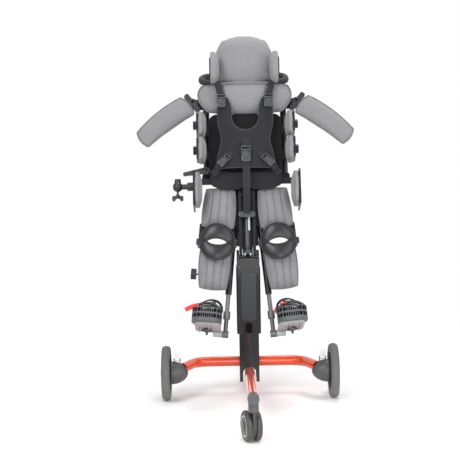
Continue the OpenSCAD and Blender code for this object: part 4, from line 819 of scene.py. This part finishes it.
@dataclass
class BackSupport(Assembly):
    """Wide pad behind the shoulders: a convex middle between two lobes."""
    place: Place = (0.0, -36.3, 613.3)

    def build(self) -> None:
        """Builds the pad with its two sewn lines and piping."""
        pad = Pad(330, 394, 122, 22, 21, 0.5, seams=(-0.47, 0.47), groove=9, around=220, rings=48)
        self.cushions("back_cushion", "tilt_frame", "back_pad", 0.75, [(pad, self.place)])
        self.piping("back_cushion_piping", "tilt_frame", 2.2, [(pad, self.place)])


@dataclass
class ArmSupport(Assembly):
    """Sloping arm pad with a rounded tip."""
    side: Side
    place: Place = (0.0, -19.8, -137.0)

    def to_row(self, p: np.ndarray) -> np.ndarray:
        """Points of the arm in the row frame."""
        return limb_to_row(p, self.side, ARM_SLOPE, ARM_HINGE)

    def build(self) -> None:
        """Builds the pad and its piping."""
        word = self.side.word
        pads = [(Pad(80, 94, 244, 20, 11, 0.3, 8.0), self.place)]
        self.cushions(f"arm_cushion_{word}", f"arm_{word}", f"arm_pad_{word}", 0.7, pads)
        self.piping(f"arm_piping_{word}", f"arm_{word}", 1.8, pads)


@dataclass
class TrunkSides(Assembly):
    """Chest pads and hip pad of one side, seen edge-on from the front."""
    side: Side
    chest_places: tuple[Place, ...] = ((178.7, -101.0, 490.0), (178.7, -101.0, 390.0))
    hip_place: Place = (192.7, -108.0, 233.0)

    def to_row(self, p: np.ndarray) -> np.ndarray:
        """Points of the side in the row frame."""
        return body_to_row(mirrored(p, self.side))

    def build(self) -> None:
        """Builds the pads of the side."""
        word = self.side.word
        chest = Pad(96, 96, 96, 18, 12, facing=Facing.INWARD)
        hip = Pad(100, 100, 132, 16, 11, facing=Facing.INWARD)
        for name, body, node, pads in (
                ("chest_cushions", "chest", "chest_pads", [(chest, place) for place in self.chest_places]),
                ("hip_cushion", "hip", "hip_pad", [(hip, self.hip_place)])):
            self.cushions(f"{name}_{word}", f"{body}_{word}", f"{node}_{word}", 0.7, pads)
            self.piping(f"{name}_{word}_piping", f"{body}_{word}", 1.6, pads)


@dataclass
class LegSupport(LegAssembly):
    """Thigh and calf pads of one leg, sewn in channels, with a piped border."""
    thigh_place: Place = (59.0, -22.3, 48.5)
    calf_place: Place = (59.0, -22.3, -187.0)

    def build(self) -> None:
        """Builds both pads and their piping."""
        word = self.side.word
        thigh = Pad(132, 120, 157, 21, 25, 0.3, seams=(-0.5, 0.0, 0.5), groove=7, around=200, rings=44)
        calf = replace(thigh, low=110, high=127, tall=155)
        pads = [(thigh, self.thigh_place), (calf, self.calf_place)]
        self.cushions(f"leg_cushions_{word}", f"leg_{word}", f"leg_pads_{word}", 0.75, pads)
        self.piping(f"leg_piping_{word}", f"leg_{word}", 2.2, pads)


@dataclass
class KneeCup(LegAssembly):
    """Padded ring over one knee, strapped to the knee arms."""
    centre: Place = (55.0, 0.0, -93.0)
    half: tuple[float, float] = (68.0, 70.0)
    hole: tuple[float, float] = (35.0, 11.0)
    front: float = -108.0
    thick: float = 22.0
    sag: float = 22.0
    web_depth: float = -74.2
    webs: tuple[tuple[float, float], ...] = ((-11.0, 12.0), (98.0, 125.0))
    buckles: tuple[float, float] = (-11.0, 125.0)

    def point(self, a: np.ndarray, b: np.ndarray) -> np.ndarray:
        """Point of the ring: an oval between hole and border by the section angle b, bulging forward.

        The hole is a lens with pointed ends, and border and thickness are drawn in at the straps,
        between the upper and the lower half.
        The distance out goes from the hole to the border as (1 + cos b) / 2, the depth is half the
        thickness times sin b to the power 0.7, and the whole sags back with the square of x.

        Args:
            a: angle round the opening.
            b: angle round the section.
        Returns:
            Points in the leg frame.
        """
        mid = (1 + np.cos(b)) / 2
        waist = 1 - 0.08 * np.exp(-(np.sin(a) / 0.2) ** 2)
        pinch = 1 - 0.42 * np.exp(-(np.sin(a) / 0.15) ** 2)
        tall = self.hole[1] * np.abs(np.sin(a)) ** 0.45
        x = np.cos(a) * (self.hole[0] + (self.half[0] * waist - self.hole[0]) * mid)
        z = np.sin(a) * (tall + (self.half[1] - tall) * mid)
        bulge = np.sign(np.sin(b)) * np.abs(np.sin(b)) ** 0.7 * pinch
        y = self.front + self.thick / 2 + self.sag * (x / self.half[0]) ** 2 - bulge * self.thick / 2
        return np.stack((x, y, z), -1) + np.array(self.centre)

    def build(self) -> None:
        """Builds the ring with its webs and buckles, then the piping on both edges."""
        word, z = self.side.word, self.centre[2]
        a, b = circle(128), circle(40)
        parts = [ringed(self.point(a[:, None], b[None, :]), True)]
        for start, end in self.webs:
            web = np.linspace((start, self.web_depth, z), (end, self.web_depth, z), 12)
            parts.append(swept(web, (0, 0, 1), 8.0, 1.6, 5))
        parts += [block((x, self.web_depth + 3.5, z), (8.0, 3.2, 12.0), 6) for x in self.buckles]
        self.piece(f"knee_pad_{word}", parts, f"leg_{word}", "black_vinyl", "black_fabric",
                   f"knee_cup_{word}", 0.7)
        cords = [cord(self.point(a, np.full_like(a, edge)), 2.0, True) for edge in (0.42, np.pi - 0.5)]
        self.piece(f"knee_piping_{word}", cords, f"leg_{word}", "dark_piping", "black_fabric")


@dataclass
class Vest(Assembly):
    """Padded chest vest with two shoulder straps and a round neck; heights run along the spine."""
    half: float = 105.0
    low: float = 322.0
    high: float = 605.0
    corner: float = 22.0
    tip: float = 14.0
    neck_s: float = 522.0
    waist_s: float = 436.0
    strap_s: float = 540.0
    neck_r: float = 52.0
    radius: float = 500.0
    front: float = -103.0
    thick: float = 12.5

    def middle(self, x: np.ndarray) -> np.ndarray:
        """Depth of the vest's middle surface: part of a wide cylinder about the spine."""
        return self.front + self.thick / 2 + self.radius - np.sqrt(self.radius ** 2 - x ** 2)

    def taper(self, s: np.ndarray) -> np.ndarray:
        """Share by which a strap has narrowed at a height, rising with the square towards its end."""
        return np.clip((s - self.strap_s) / (self.high - self.strap_s), 0, 1) ** 2

    def tip_round(self, s: np.ndarray) -> np.ndarray:
        """Share of the round at a strap's end: a quarter circle over the tip's length."""
        return 1 - np.sqrt(1 - np.clip((s - self.high + self.tip) / self.tip, 0, 1) ** 2)

    def outer(self, s: np.ndarray) -> np.ndarray:
        """Outer border at a height: drawn in at the waist, rounded at the foot and at the strap's end."""
        near = np.clip((self.low + self.corner - s) / self.corner, 0, 1)
        waist = 14 * np.exp(-((s - self.waist_s) / 48) ** 2) - 6 * np.exp(-((s - self.low) / 40) ** 2)
        return (self.half - waist - self.taper(s) * 6 - self.corner * (1 - np.sqrt(1 - near ** 2))
                - self.tip * self.tip_round(s))

    def inner(self, s: np.ndarray) -> np.ndarray:
        """Inner border at a height: the middle line, then the round of the neck, then the strap."""
        drop = np.clip(self.neck_s - s, 0, self.neck_r)
        return np.sqrt(self.neck_r ** 2 - drop ** 2) + self.taper(s) * 16 + 6 * self.tip_round(s)

    def half_shell(self) -> Shell:
        """Right half: superellipse sections between the borders, stacked along the spine."""
        neck = self.neck_s - self.neck_r
        turn = np.linspace(0, 1, 26)
        s = np.concatenate((self.low + (neck - self.low) * turn[:-1] ** 1.4,
                            neck + self.neck_r * (1 - np.cos(turn[:-1] * np.pi / 2)),
                            self.neck_s + (self.high - self.neck_s) * np.sin(turn * np.pi / 2)))
        x0, x1 = self.inner(s), self.outer(s)
        end = np.sqrt(np.clip(np.minimum(s - self.low + 0.6, self.high - s + 0.6) / 8.0, 0.02, 1))
        w, t = superpower(circle(48), 4.5)
        x = ((x0 + x1) / 2)[:, None] + ((x1 - x0) / 2)[:, None] * w
        y = self.middle(x) + t * self.thick / 2 * end[:, None]
        return ringed(np.stack((x, y, np.repeat(s[:, None], len(w), 1)), -1))

    def borders(self) -> list[np.ndarray]:
        """Lines of the outer border with the foot, and of the neck, from left to right."""
        s = self.low + (self.high - self.low) * (1 - np.cos(np.linspace(0, np.pi, 90))) / 2
        foot = np.linspace(0, self.outer(np.array([self.low]))[0], 24)[:-1]
        edge = np.concatenate((np.column_stack((foot, np.full_like(foot, self.low))),
                               np.column_stack((self.outer(s), s))))
        a = np.linspace(0, np.pi / 2, 30)
        up = np.linspace(self.neck_s, self.high, 30)[1:]
        neck = np.concatenate((np.column_stack((np.sin(a), -np.cos(a))) * self.neck_r + (0, self.neck_s),
                               np.column_stack((self.inner(up), up))))
        lines = [np.concatenate((right[:0:-1] * (-1, 1), right)) for right in (edge, neck)]
        return [np.stack((line[:, 0], self.middle(line[:, 0]) - 2.5, line[:, 1]), -1) for line in lines]

    def build(self) -> None:
        """Builds both halves, joined on a middle seam, and the piping."""
        shell = self.half_shell()
        self.piece("vest_pad", [shell.on(s) for s in Side], "tilt_frame", "black_fabric", "black_fabric",
                   "vest", 0.5)
        self.piece("vest_piping", [cord(line, 2.3) for line in self.borders()], "tilt_frame", "dark_piping",
                   "black_fabric")


@dataclass
class HipBelt(Assembly):
    """Padded belt over the hips with two rounded lobes below."""
    half: float = 135.0
    low: float = 265.0
    high: float = 315.0
    depth: float = -55.5
    half_thick: float = 7.4
    end_round: float = 20.0
    lobe_at: float = 66.0
    lobe_half: float = 54.0
    lobe_drop: float = 18.0

    def build(self) -> None:
        """Builds the belt: upright sections whose foot drops at the lobes and whose ends are round."""
        x = self.half * np.sin(np.linspace(-np.pi / 2, np.pi / 2, 120))
        near = np.clip(1 - ((np.abs(x) - self.lobe_at) / self.lobe_half) ** 2, 0, 1)
        past = np.clip(np.abs(x) - self.half + self.end_round, 0, self.end_round) / self.end_round
        end = np.sqrt(np.clip(1 - past ** 2, 0.01, 1))
        foot = self.low - self.lobe_drop * np.sqrt(near)
        middle, tall = (foot + self.high) / 2, (self.high - foot) / 2 * end
        w, t = superpower(circle(32), 4)
        grid = np.stack((np.repeat(x[:, None], len(w), 1), self.depth + t * self.half_thick * end[:, None],
                         middle[:, None] + tall[:, None] * w), -1)
        self.piece("hip_belt_pad", [ringed(grid)], "tilt_frame", "black_fabric", "black_fabric",
                   "hip_belt", 0.5)


@dataclass
class Harness(Assembly):
    """Webbing and buckles that hold the vest."""
    shoulder: float = 90.0
    slant: float = 16.0
    face: float = -98.2
    foot: float = 600.0
    top: float = 674.5
    bend: float = 12.0
    slots: tuple[float, ...] = (322.0, 470.0, 530.0)
    anchor: float = 152.0

    # Middle of each part of a buckle and its half sizes, as shares of the buckle's half sizes
    PARTS: ClassVar[tuple[tuple[Place, Place], ...]] = (
        ((0, 0, -0.5), (1, 1, 0.42)), ((0, -0.85, -0.38), (0.72, 0.5, 0.06)),
        ((0, -0.85, -0.62), (0.72, 0.5, 0.06)), ((0, 0, 0.16), (0.62, 0.7, 0.26)),
        ((-0.86, 0, 0.12), (0.15, 0.9, 0.24)), ((0.86, 0, 0.12), (0.15, 0.9, 0.24)),
        ((0, -0.2, 0.5), (1, 0.8, 0.09)), ((0, -0.2, 0.92), (1, 0.8, 0.08)),
        ((-0.92, 0, 0.7), (0.1, 0.8, 0.26)), ((0.92, 0, 0.7), (0.1, 0.8, 0.26)))

    def shoulder_line(self) -> np.ndarray:
        """Middle line of a shoulder webbing: up from the vest, round the pad's top and back."""
        a = np.linspace(0, np.pi / 2, 16)[1:]
        low = self.top - self.bend
        up = np.linspace((self.face, self.foot), (self.face, low), 20)
        turn = np.column_stack((self.face + self.bend * (1 - np.cos(a)), low + self.bend * np.sin(a)))
        back = np.linspace((self.face + self.bend + 2.0, self.top), (-24.0, self.top), 14)
        line = np.concatenate((up, turn, back))
        slant = self.slant * np.clip((line[:, 1] - self.foot) / (self.top - self.foot), 0, 1)
        return np.column_stack((self.shoulder + slant, line))

    def crotch_line(self) -> np.ndarray:
        """Middle line of the crotch strap: down the front, then a half cosine back to its anchor."""
        down = np.linspace(430.0, 236.0, 36)
        share = np.linspace(0, 1, 24)[1:]
        s = np.concatenate((down, 236.0 - 82.0 * share))
        y = -105.0 + np.concatenate((np.zeros_like(down), 52.0 * (1 - np.cos(np.pi * share)) / 2))
        return np.stack((np.zeros_like(s), y, s), -1)

    def buckle(self, centre: Sequence[float], half: Sequence[float]) -> list[Shell]:
        """A side-release buckle of rounded blocks: ridged socket, plug with side prongs, slide with bars."""
        c, h = np.array(centre), np.array(half)
        return [block(c + h * np.array(at), h * np.array(size), 6, 10) for at, size in self.PARTS]

    def build(self) -> None:
        """Builds the webbing in one piece and the buckles in another."""
        bands = [swept(mirrored(self.shoulder_line(), s), (1, 0, 0), 12.5, 1.5, 6) for s in Side]
        hip_run = np.linspace((90.0, -78.1, 345.0), (126.0, -78.1, 302.0), 16)
        lap_run = np.linspace((52.0, -104.0, 378.0), (112.0, -97.5, 318.0), 20)
        for side in Side:
            bands += [swept(mirrored(hip_run, side), (0.77 * side.value, 0, 0.64), 12.5, 1.5, 6),
                      swept(mirrored(lap_run, side), (0.7 * side.value, 0, 0.7), 11.0, 1.5, 6)]
        bands.append(swept(self.crotch_line(), (1, 0, 0), 14.0, 1.6, 6))
        bands += [block((92.0 * side.value, -42.3, s), (16.4, 7.4, 2.5), 8)
                  for side in Side for s in self.slots]
        self.piece("harness_webbing", bands, "tilt_frame", "black_webbing", "black_fabric", "harness_straps")
        parts = self.buckle((0, -111.0, 370.0), (17.5, 4.8, 32.0))
        parts.append(block((0.0, -50.0, self.anchor), (31.0, 4.2, 11.0), 6))
        for side in Side:
            parts += self.buckle((self.shoulder * side.value, self.face - 8.0, 584.0), (17.0, 4.8, 27.0))
            parts.append(block((26.0 * side.value, -41.5, self.anchor), (5.4, 5.2, 9.0), 5))
            parts += [part.turned(math.pi / 4, X, Z, (84.0, -106.0, 347.0)).on(side)
                      for part in self.buckle((0.0, 0.0, 0.0), (14.0, 4.5, 27.0))]
        self.piece("harness_buckles", parts, "tilt_frame", "buckle_black", "black_plastic")


@dataclass
class FootTrim(LegAssembly):
    """Straps, buckles, red tabs, liner, knob and the painted shade in the toe slots of one sandal."""
    middle: float = 67.5
    sole: float = -403.7
    radius: float = 64.0
    toe: float = -183.0
    knob: Place = (66.0, -62.0, -419.0)
    corner: float = 44.0
    corner_out: float = 10.0
    slot_angles: tuple[float, ...] = (0.44, 0.78, 1.12)
    slot_heights: tuple[float, ...] = (20.0, 40.0)

    def at(self, across: float, along: float, up: float) -> np.ndarray:
        """Place from the sandal's middle line, its toe and its sole."""
        return np.array((self.middle + across, self.toe + along, self.sole + up))

    def arc(self, along: float) -> np.ndarray:
        """Middle line of a strap: an arc over the foot from wall to wall."""
        a = np.radians(np.linspace(-51, 51, 40))
        r = self.radius + 1.8
        arc = np.stack((r * np.sin(a), np.zeros_like(a), r * np.cos(a)), -1)
        return arc + self.at(0, along, 74.0 - self.radius)

    def ankle_line(self) -> np.ndarray:
        """Middle line of the ankle strap: a taller half oval between the heel's walls."""
        a = np.linspace(0, np.pi, 48)
        oval = np.stack((36.0 * np.cos(a), -18.0 * np.sin(a), 29.0 * np.sin(a)), -1)
        return oval + self.at(0, 172.0, 42.0)

    def loop_line(self) -> np.ndarray:
        """Middle line of the slack instep strap: a leaning half oval that crosses the other straps."""
        a = np.linspace(0, np.pi, 48)
        oval = np.stack((-46.0 * np.cos(a), -26.0 * np.cos(a), 45.0 * np.sin(a) ** 0.8), -1)
        return oval + self.at(-6.0, 82.0, 44.0)

    def tabs(self) -> list[Shell]:
        """Red pull tabs: a long drooping one on the left, two short ones on the right."""
        if self.side is Side.LEFT:
            share = np.linspace(0, 1, 14)
            run = np.stack((46.0 * share, -8.0 * share, -22.0 * share ** 1.5), -1)
            return [swept(run + self.at(32.5, 42.0, 60.0), (0.35, 0, 1), 8.0, 1.8, 6, 14)]
        return [block(self.at(-27.5, 50.0, 68.0), (11.0, 12.0, 3.0)),
                block(self.at(-54.5, 119.0, 58.0), (3.0, 11.0, 9.0))]

    def corner_slots(self) -> list[Shell]:
        """Painted shade in the slots on the round corners of the toe: thin dark plates on the wall, turned by
        their angle on the arc.
        """
        plates = []
        for way in (-1.0, 1.0):
            shift = (self.middle + self.corner_out * way, self.toe + self.corner, self.sole)
            plates += [block((0.0, -self.corner, up), (5.4, 0.6, 6.6), 8).turned(angle * way, X, Y, shift)
                       for angle in self.slot_angles for up in self.slot_heights]
        return plates

    def build(self) -> None:
        """Builds the pieces of the sandal."""
        arcs = [self.arc(along) for along in (57.0, 119.0)]
        webbing = [swept(line, (0, 1, 0), 12.5, 1.4, 6, 14) for line in arcs]
        buckles = [block(line[13] + (0, 0, 2.0), (9.0, 15.0, 3.5)) for line in arcs]
        straps = [swept(self.ankle_line(), (0, 1, 0), 11.0, 1.5, 6, 14),
                  swept(self.loop_line(), (0.35, 1, 0), 10.0, 1.5, 6, 14)]
        liner = [block(self.at(0, 68.0, 29.0), (46.0, 40.0, 20.0), 7),
                 block(self.at(0, 153.0, 26.0), (26.0, 52.0, 16.0), 6)]
        x, y, z = self.knob
        knob = [block((x, y, z), (13.2, 13.2, 7.2)), block((x, y, z - 1.5), (21.0, 5.0, 5.0), 4),
                block((x, y, z - 11.0), (4.5, 4.5, 7.0), 4)]
        for name, shells, finish, slot in (
                ("sandal_webbing", webbing, "black_webbing", "black_fabric"),
                ("sandal_buckles", buckles, "buckle_black", "black_plastic"),
                ("ankle_strap", straps, "black_webbing", "black_fabric"),
                ("sandal_tabs", self.tabs(), "tab_red", "black_plastic"),
                ("sandal_liner", liner, "slot_black", "foam_grip"),
                # thin dark plates in the toe slots: painted shade of the openings
                ("sandal_slots", self.corner_slots(), "slot_black", "black_plastic"),
                ("sole_knob", knob, "buckle_black", "black_plastic")):
            self.piece(f"{name}_{self.side.word}", shells, f"sole_{self.side.word}", finish, slot)


@dataclass
class ColumnTrim(Assembly):
    """Bare panel in the recess of the outer column and, below it, a dark plate as painted shade inside the
    window.
    """

    def to_row(self, p: np.ndarray) -> np.ndarray:
        """Points of the upright column in the row frame."""
        return p * MM

    def build(self) -> None:
        """Builds the panel and the window's painted shade as thin rounded plates."""
        panel = block((0.0, 61.8, 368.0), (29.0, 1.4, 90.5), 14, 24, 48)
        self.piece("column_panel", [panel], "mast", "panel_blue_grey", "black_plastic")
        # dark plate over the window: painted shade of the column's inside
        window = block((0.0, 60.0, 252.0), (11.5, 0.6, 19.0), 10, 12, 24)
        self.piece("column_window", [window], "mast", "slot_black", "black_plastic")


@dataclass
class SpineTrim(Assembly):
    """Thin covers between and behind the spine rails, and the bare strip on the strut."""
    strip_turn: float = math.radians(42.0)
    strut_middle: Place = (0.0, -26.0, 0.0)

    def build(self) -> None:
        """Builds the covers on the body frame and the strip flat on the strut's side."""
        cover = block((0.0, 7.0, 138.0), (20.3, 1.6, 114.0), 14, 18, 48)
        self.piece("rail_cover", [cover], "tilt_frame", "black_plastic", "black_plastic")
        plates = [block((0.0, 20.2, s), (half, 1.4, tall), 12, 20, ring) for s, half, tall, ring in (
            (184.0, 62.0, 79.0, 48), (82.0, 43.0, 36.0, 32), (280.0, 96.0, 27.0, 40))]
        self.piece("hip_shell", plates, "tilt_frame", "black_plastic", "black_plastic")
        strip = block((0.0, -11.0, 126.0), (4.0, 0.6, 32.0), 10, 12, 24)
        self.piece("strut_strip", [strip.turned(self.strip_turn, X, Y, self.strut_middle)], "strut",
                   "white_plastic", "white_plastic")


@dataclass
class CasterTrim(ColumnTrim):
    """Plated rings in the wheel faces of one twin caster."""
    word: str
    turn: float

    # Radius and place along the axle of the ring's section
    SECTION: ClassVar[np.ndarray] = np.array(
        ((29.6, 23.4), (30.4, 25.2), (33.0, 25.7), (35.8, 25.2), (36.4, 23.4)))

    def build(self) -> None:
        """Builds a flat ring on each outer face: the section turned about x, then with the caster."""
        low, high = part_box(f"{self.word}_caster_wheels")
        centre = (np.array(low) + np.array(high)) / 2 / MM
        radius, along = self.SECTION[:, :1], self.SECTION[:, 1:]
        a = circle(64)
        grid = np.stack((np.repeat(along, len(a), 1), radius * np.cos(a), radius * np.sin(a)), -1)
        ring = ringed(grid, True)
        self.piece(f"{self.word}_caster_rings", [ring.on(s).turned(self.turn, X, Y, centre) for s in Side],
                   f"{self.word}_caster_roller", "steel_rod", "silver_metal")


@dataclass
class Studio:
    """Pale floor, soft lights and the photographer's camera, sizes in metres."""
    eye: Place = (-0.065, -4.0, 1.02)
    pitch: float = 5.6
    roll: float = 1.0
    focal_share: float = 1099.0 / 460.0
    sensor: float = 36.0
    floor_half: float = 12.0
    fade: tuple[float, float] = (0.75, 1.9)
    sky_fill: float = 0.55

    # Name, place, aim, size and power of each lamp
    LAMPS: ClassVar[tuple[tuple[str, Place, Place, float, float], ...]] = (
        ("key", (-1.8, -2.6, 3.0), (0, 0, 0.7), 1.8, 84.0),
        ("fill", (2.4, -2.2, 1.9), (0, 0, 0.7), 2.2, 42.0),
        ("low", (0.5, -3.0, 0.8), (0, 0, 0.45), 1.6, 34.0),
        ("top", (0.3, 0.8, 3.4), (0, 0, 0.7), 1.6, 55.0))

    def camera(self) -> None:
        """Places the camera that looks along +Y, a little down."""
        data = bpy.data.cameras.new("camera")
        data.sensor_width = self.sensor
        data.lens = self.sensor * self.focal_share
        data.clip_end = 60.0
        obj = linked("camera", data)
        obj.location = self.eye
        obj.rotation_euler = (math.radians(90.0 - self.pitch), 0.0, 0.0)
        obj.rotation_euler.rotate_axis("Z", -math.radians(self.roll))
        bpy.context.scene.camera = obj

    def lamps(self) -> None:
        """Adds the soft square lights, each turned to its aim."""
        for name, place, aim, size, power in self.LAMPS:
            data = bpy.data.lights.new(name, "AREA")
            data.energy = power
            data.size = size
            obj = linked(name, data)
            obj.location = place
            obj.rotation_euler = (Vector(aim) - Vector(place)).to_track_quat("-Z", "Y").to_euler()

    def looked_at(self, desk: NodeDesk) -> bpy.types.NodeSocket:
        """Mask of the rays that show a background: straight, mirrored or through glass."""
        path = desk.add("LightPath").outputs
        mirror_or_glass = desk.calc("MAXIMUM", path["Is Glossy Ray"], path["Is Transmission Ray"])
        return desk.calc("MAXIMUM", path["Is Camera Ray"], mirror_or_glass)

    def floor(self) -> None:
        """Lays a pale floor that keeps the shadow near the part and fades to white far away."""
        mesh = bpy.data.meshes.new("floor")
        r = self.floor_half
        mesh.from_pydata([(-r, -r, 0), (r, -r, 0), (r, r, 0), (-r, r, 0)], [], [(0, 1, 2, 3)])
        linked("floor", mesh)
        desk = MaterialDesk("floor_white")
        desk.fixed(Base_Color=rgb(247, 247, 248), Roughness=0.6, Specular_IOR_Level=0.1)
        far = desk.add("VectorMath", {0: desk.coords}, operation="LENGTH").outputs["Value"]
        near, end = self.fade
        fade = desk.add("MapRange", {"Value": far, "From Min": near, "From Max": end}).outputs["Result"]
        mask = desk.calc("MULTIPLY", fade, self.looked_at(desk))
        glow = desk.add("Emission").outputs[0]
        mix = desk.add("MixShader", {"Fac": mask, 1: desk.shader.outputs[0], 2: glow})
        desk.feed(desk.tree.nodes["Material Output"].inputs["Surface"], mix.outputs[0])
        mesh.materials.append(desk.material)

    def sky(self) -> None:
        """White where it is looked at, a softer fill for everything else."""
        world = bpy.data.worlds.new("studio")
        bpy.context.scene.world = world
        world.use_nodes = True
        desk = NodeDesk(world.node_tree)
        back = world.node_tree.nodes["Background"]
        back.inputs["Color"].default_value = (1.0, 1.0, 1.0, 1.0)
        level = desk.add("MapRange", {"Value": self.looked_at(desk), "To Min": self.sky_fill, "To Max": 1.0})
        desk.feed(back.inputs["Strength"], level.outputs["Result"])

    def build(self) -> None:
        """Sets up the whole studio."""
        bpy.context.scene.view_settings.view_transform = "Standard"
        self.camera()
        self.floor()
        self.sky()
        self.lamps()


def main() -> None:
    """Builds the looks of the frame piece by piece."""
    logging.basicConfig(level=logging.INFO, format="%(name)s: %(message)s")
    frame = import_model()
    palette = Palette()
    Dresser(frame["nodes"], palette).dress()
    HeadSupport(palette).build()
    BackSupport(palette).build()
    for side in Side:
        for kind in (ArmSupport, TrunkSides, LegSupport, KneeCup):
            kind(palette, side).build()
    for kind in (Vest, HipBelt, Harness):
        kind(palette).build()
    for side in Side:
        FootTrim(palette, side).build()
    ColumnTrim(palette).build()
    SpineTrim(palette).build()
    CasterTrim(palette, "front", math.radians(14.0)).build()
    CasterTrim(palette, "rear", 0.0).build()
    Studio().build()


if __name__ == "__main__":
    main()
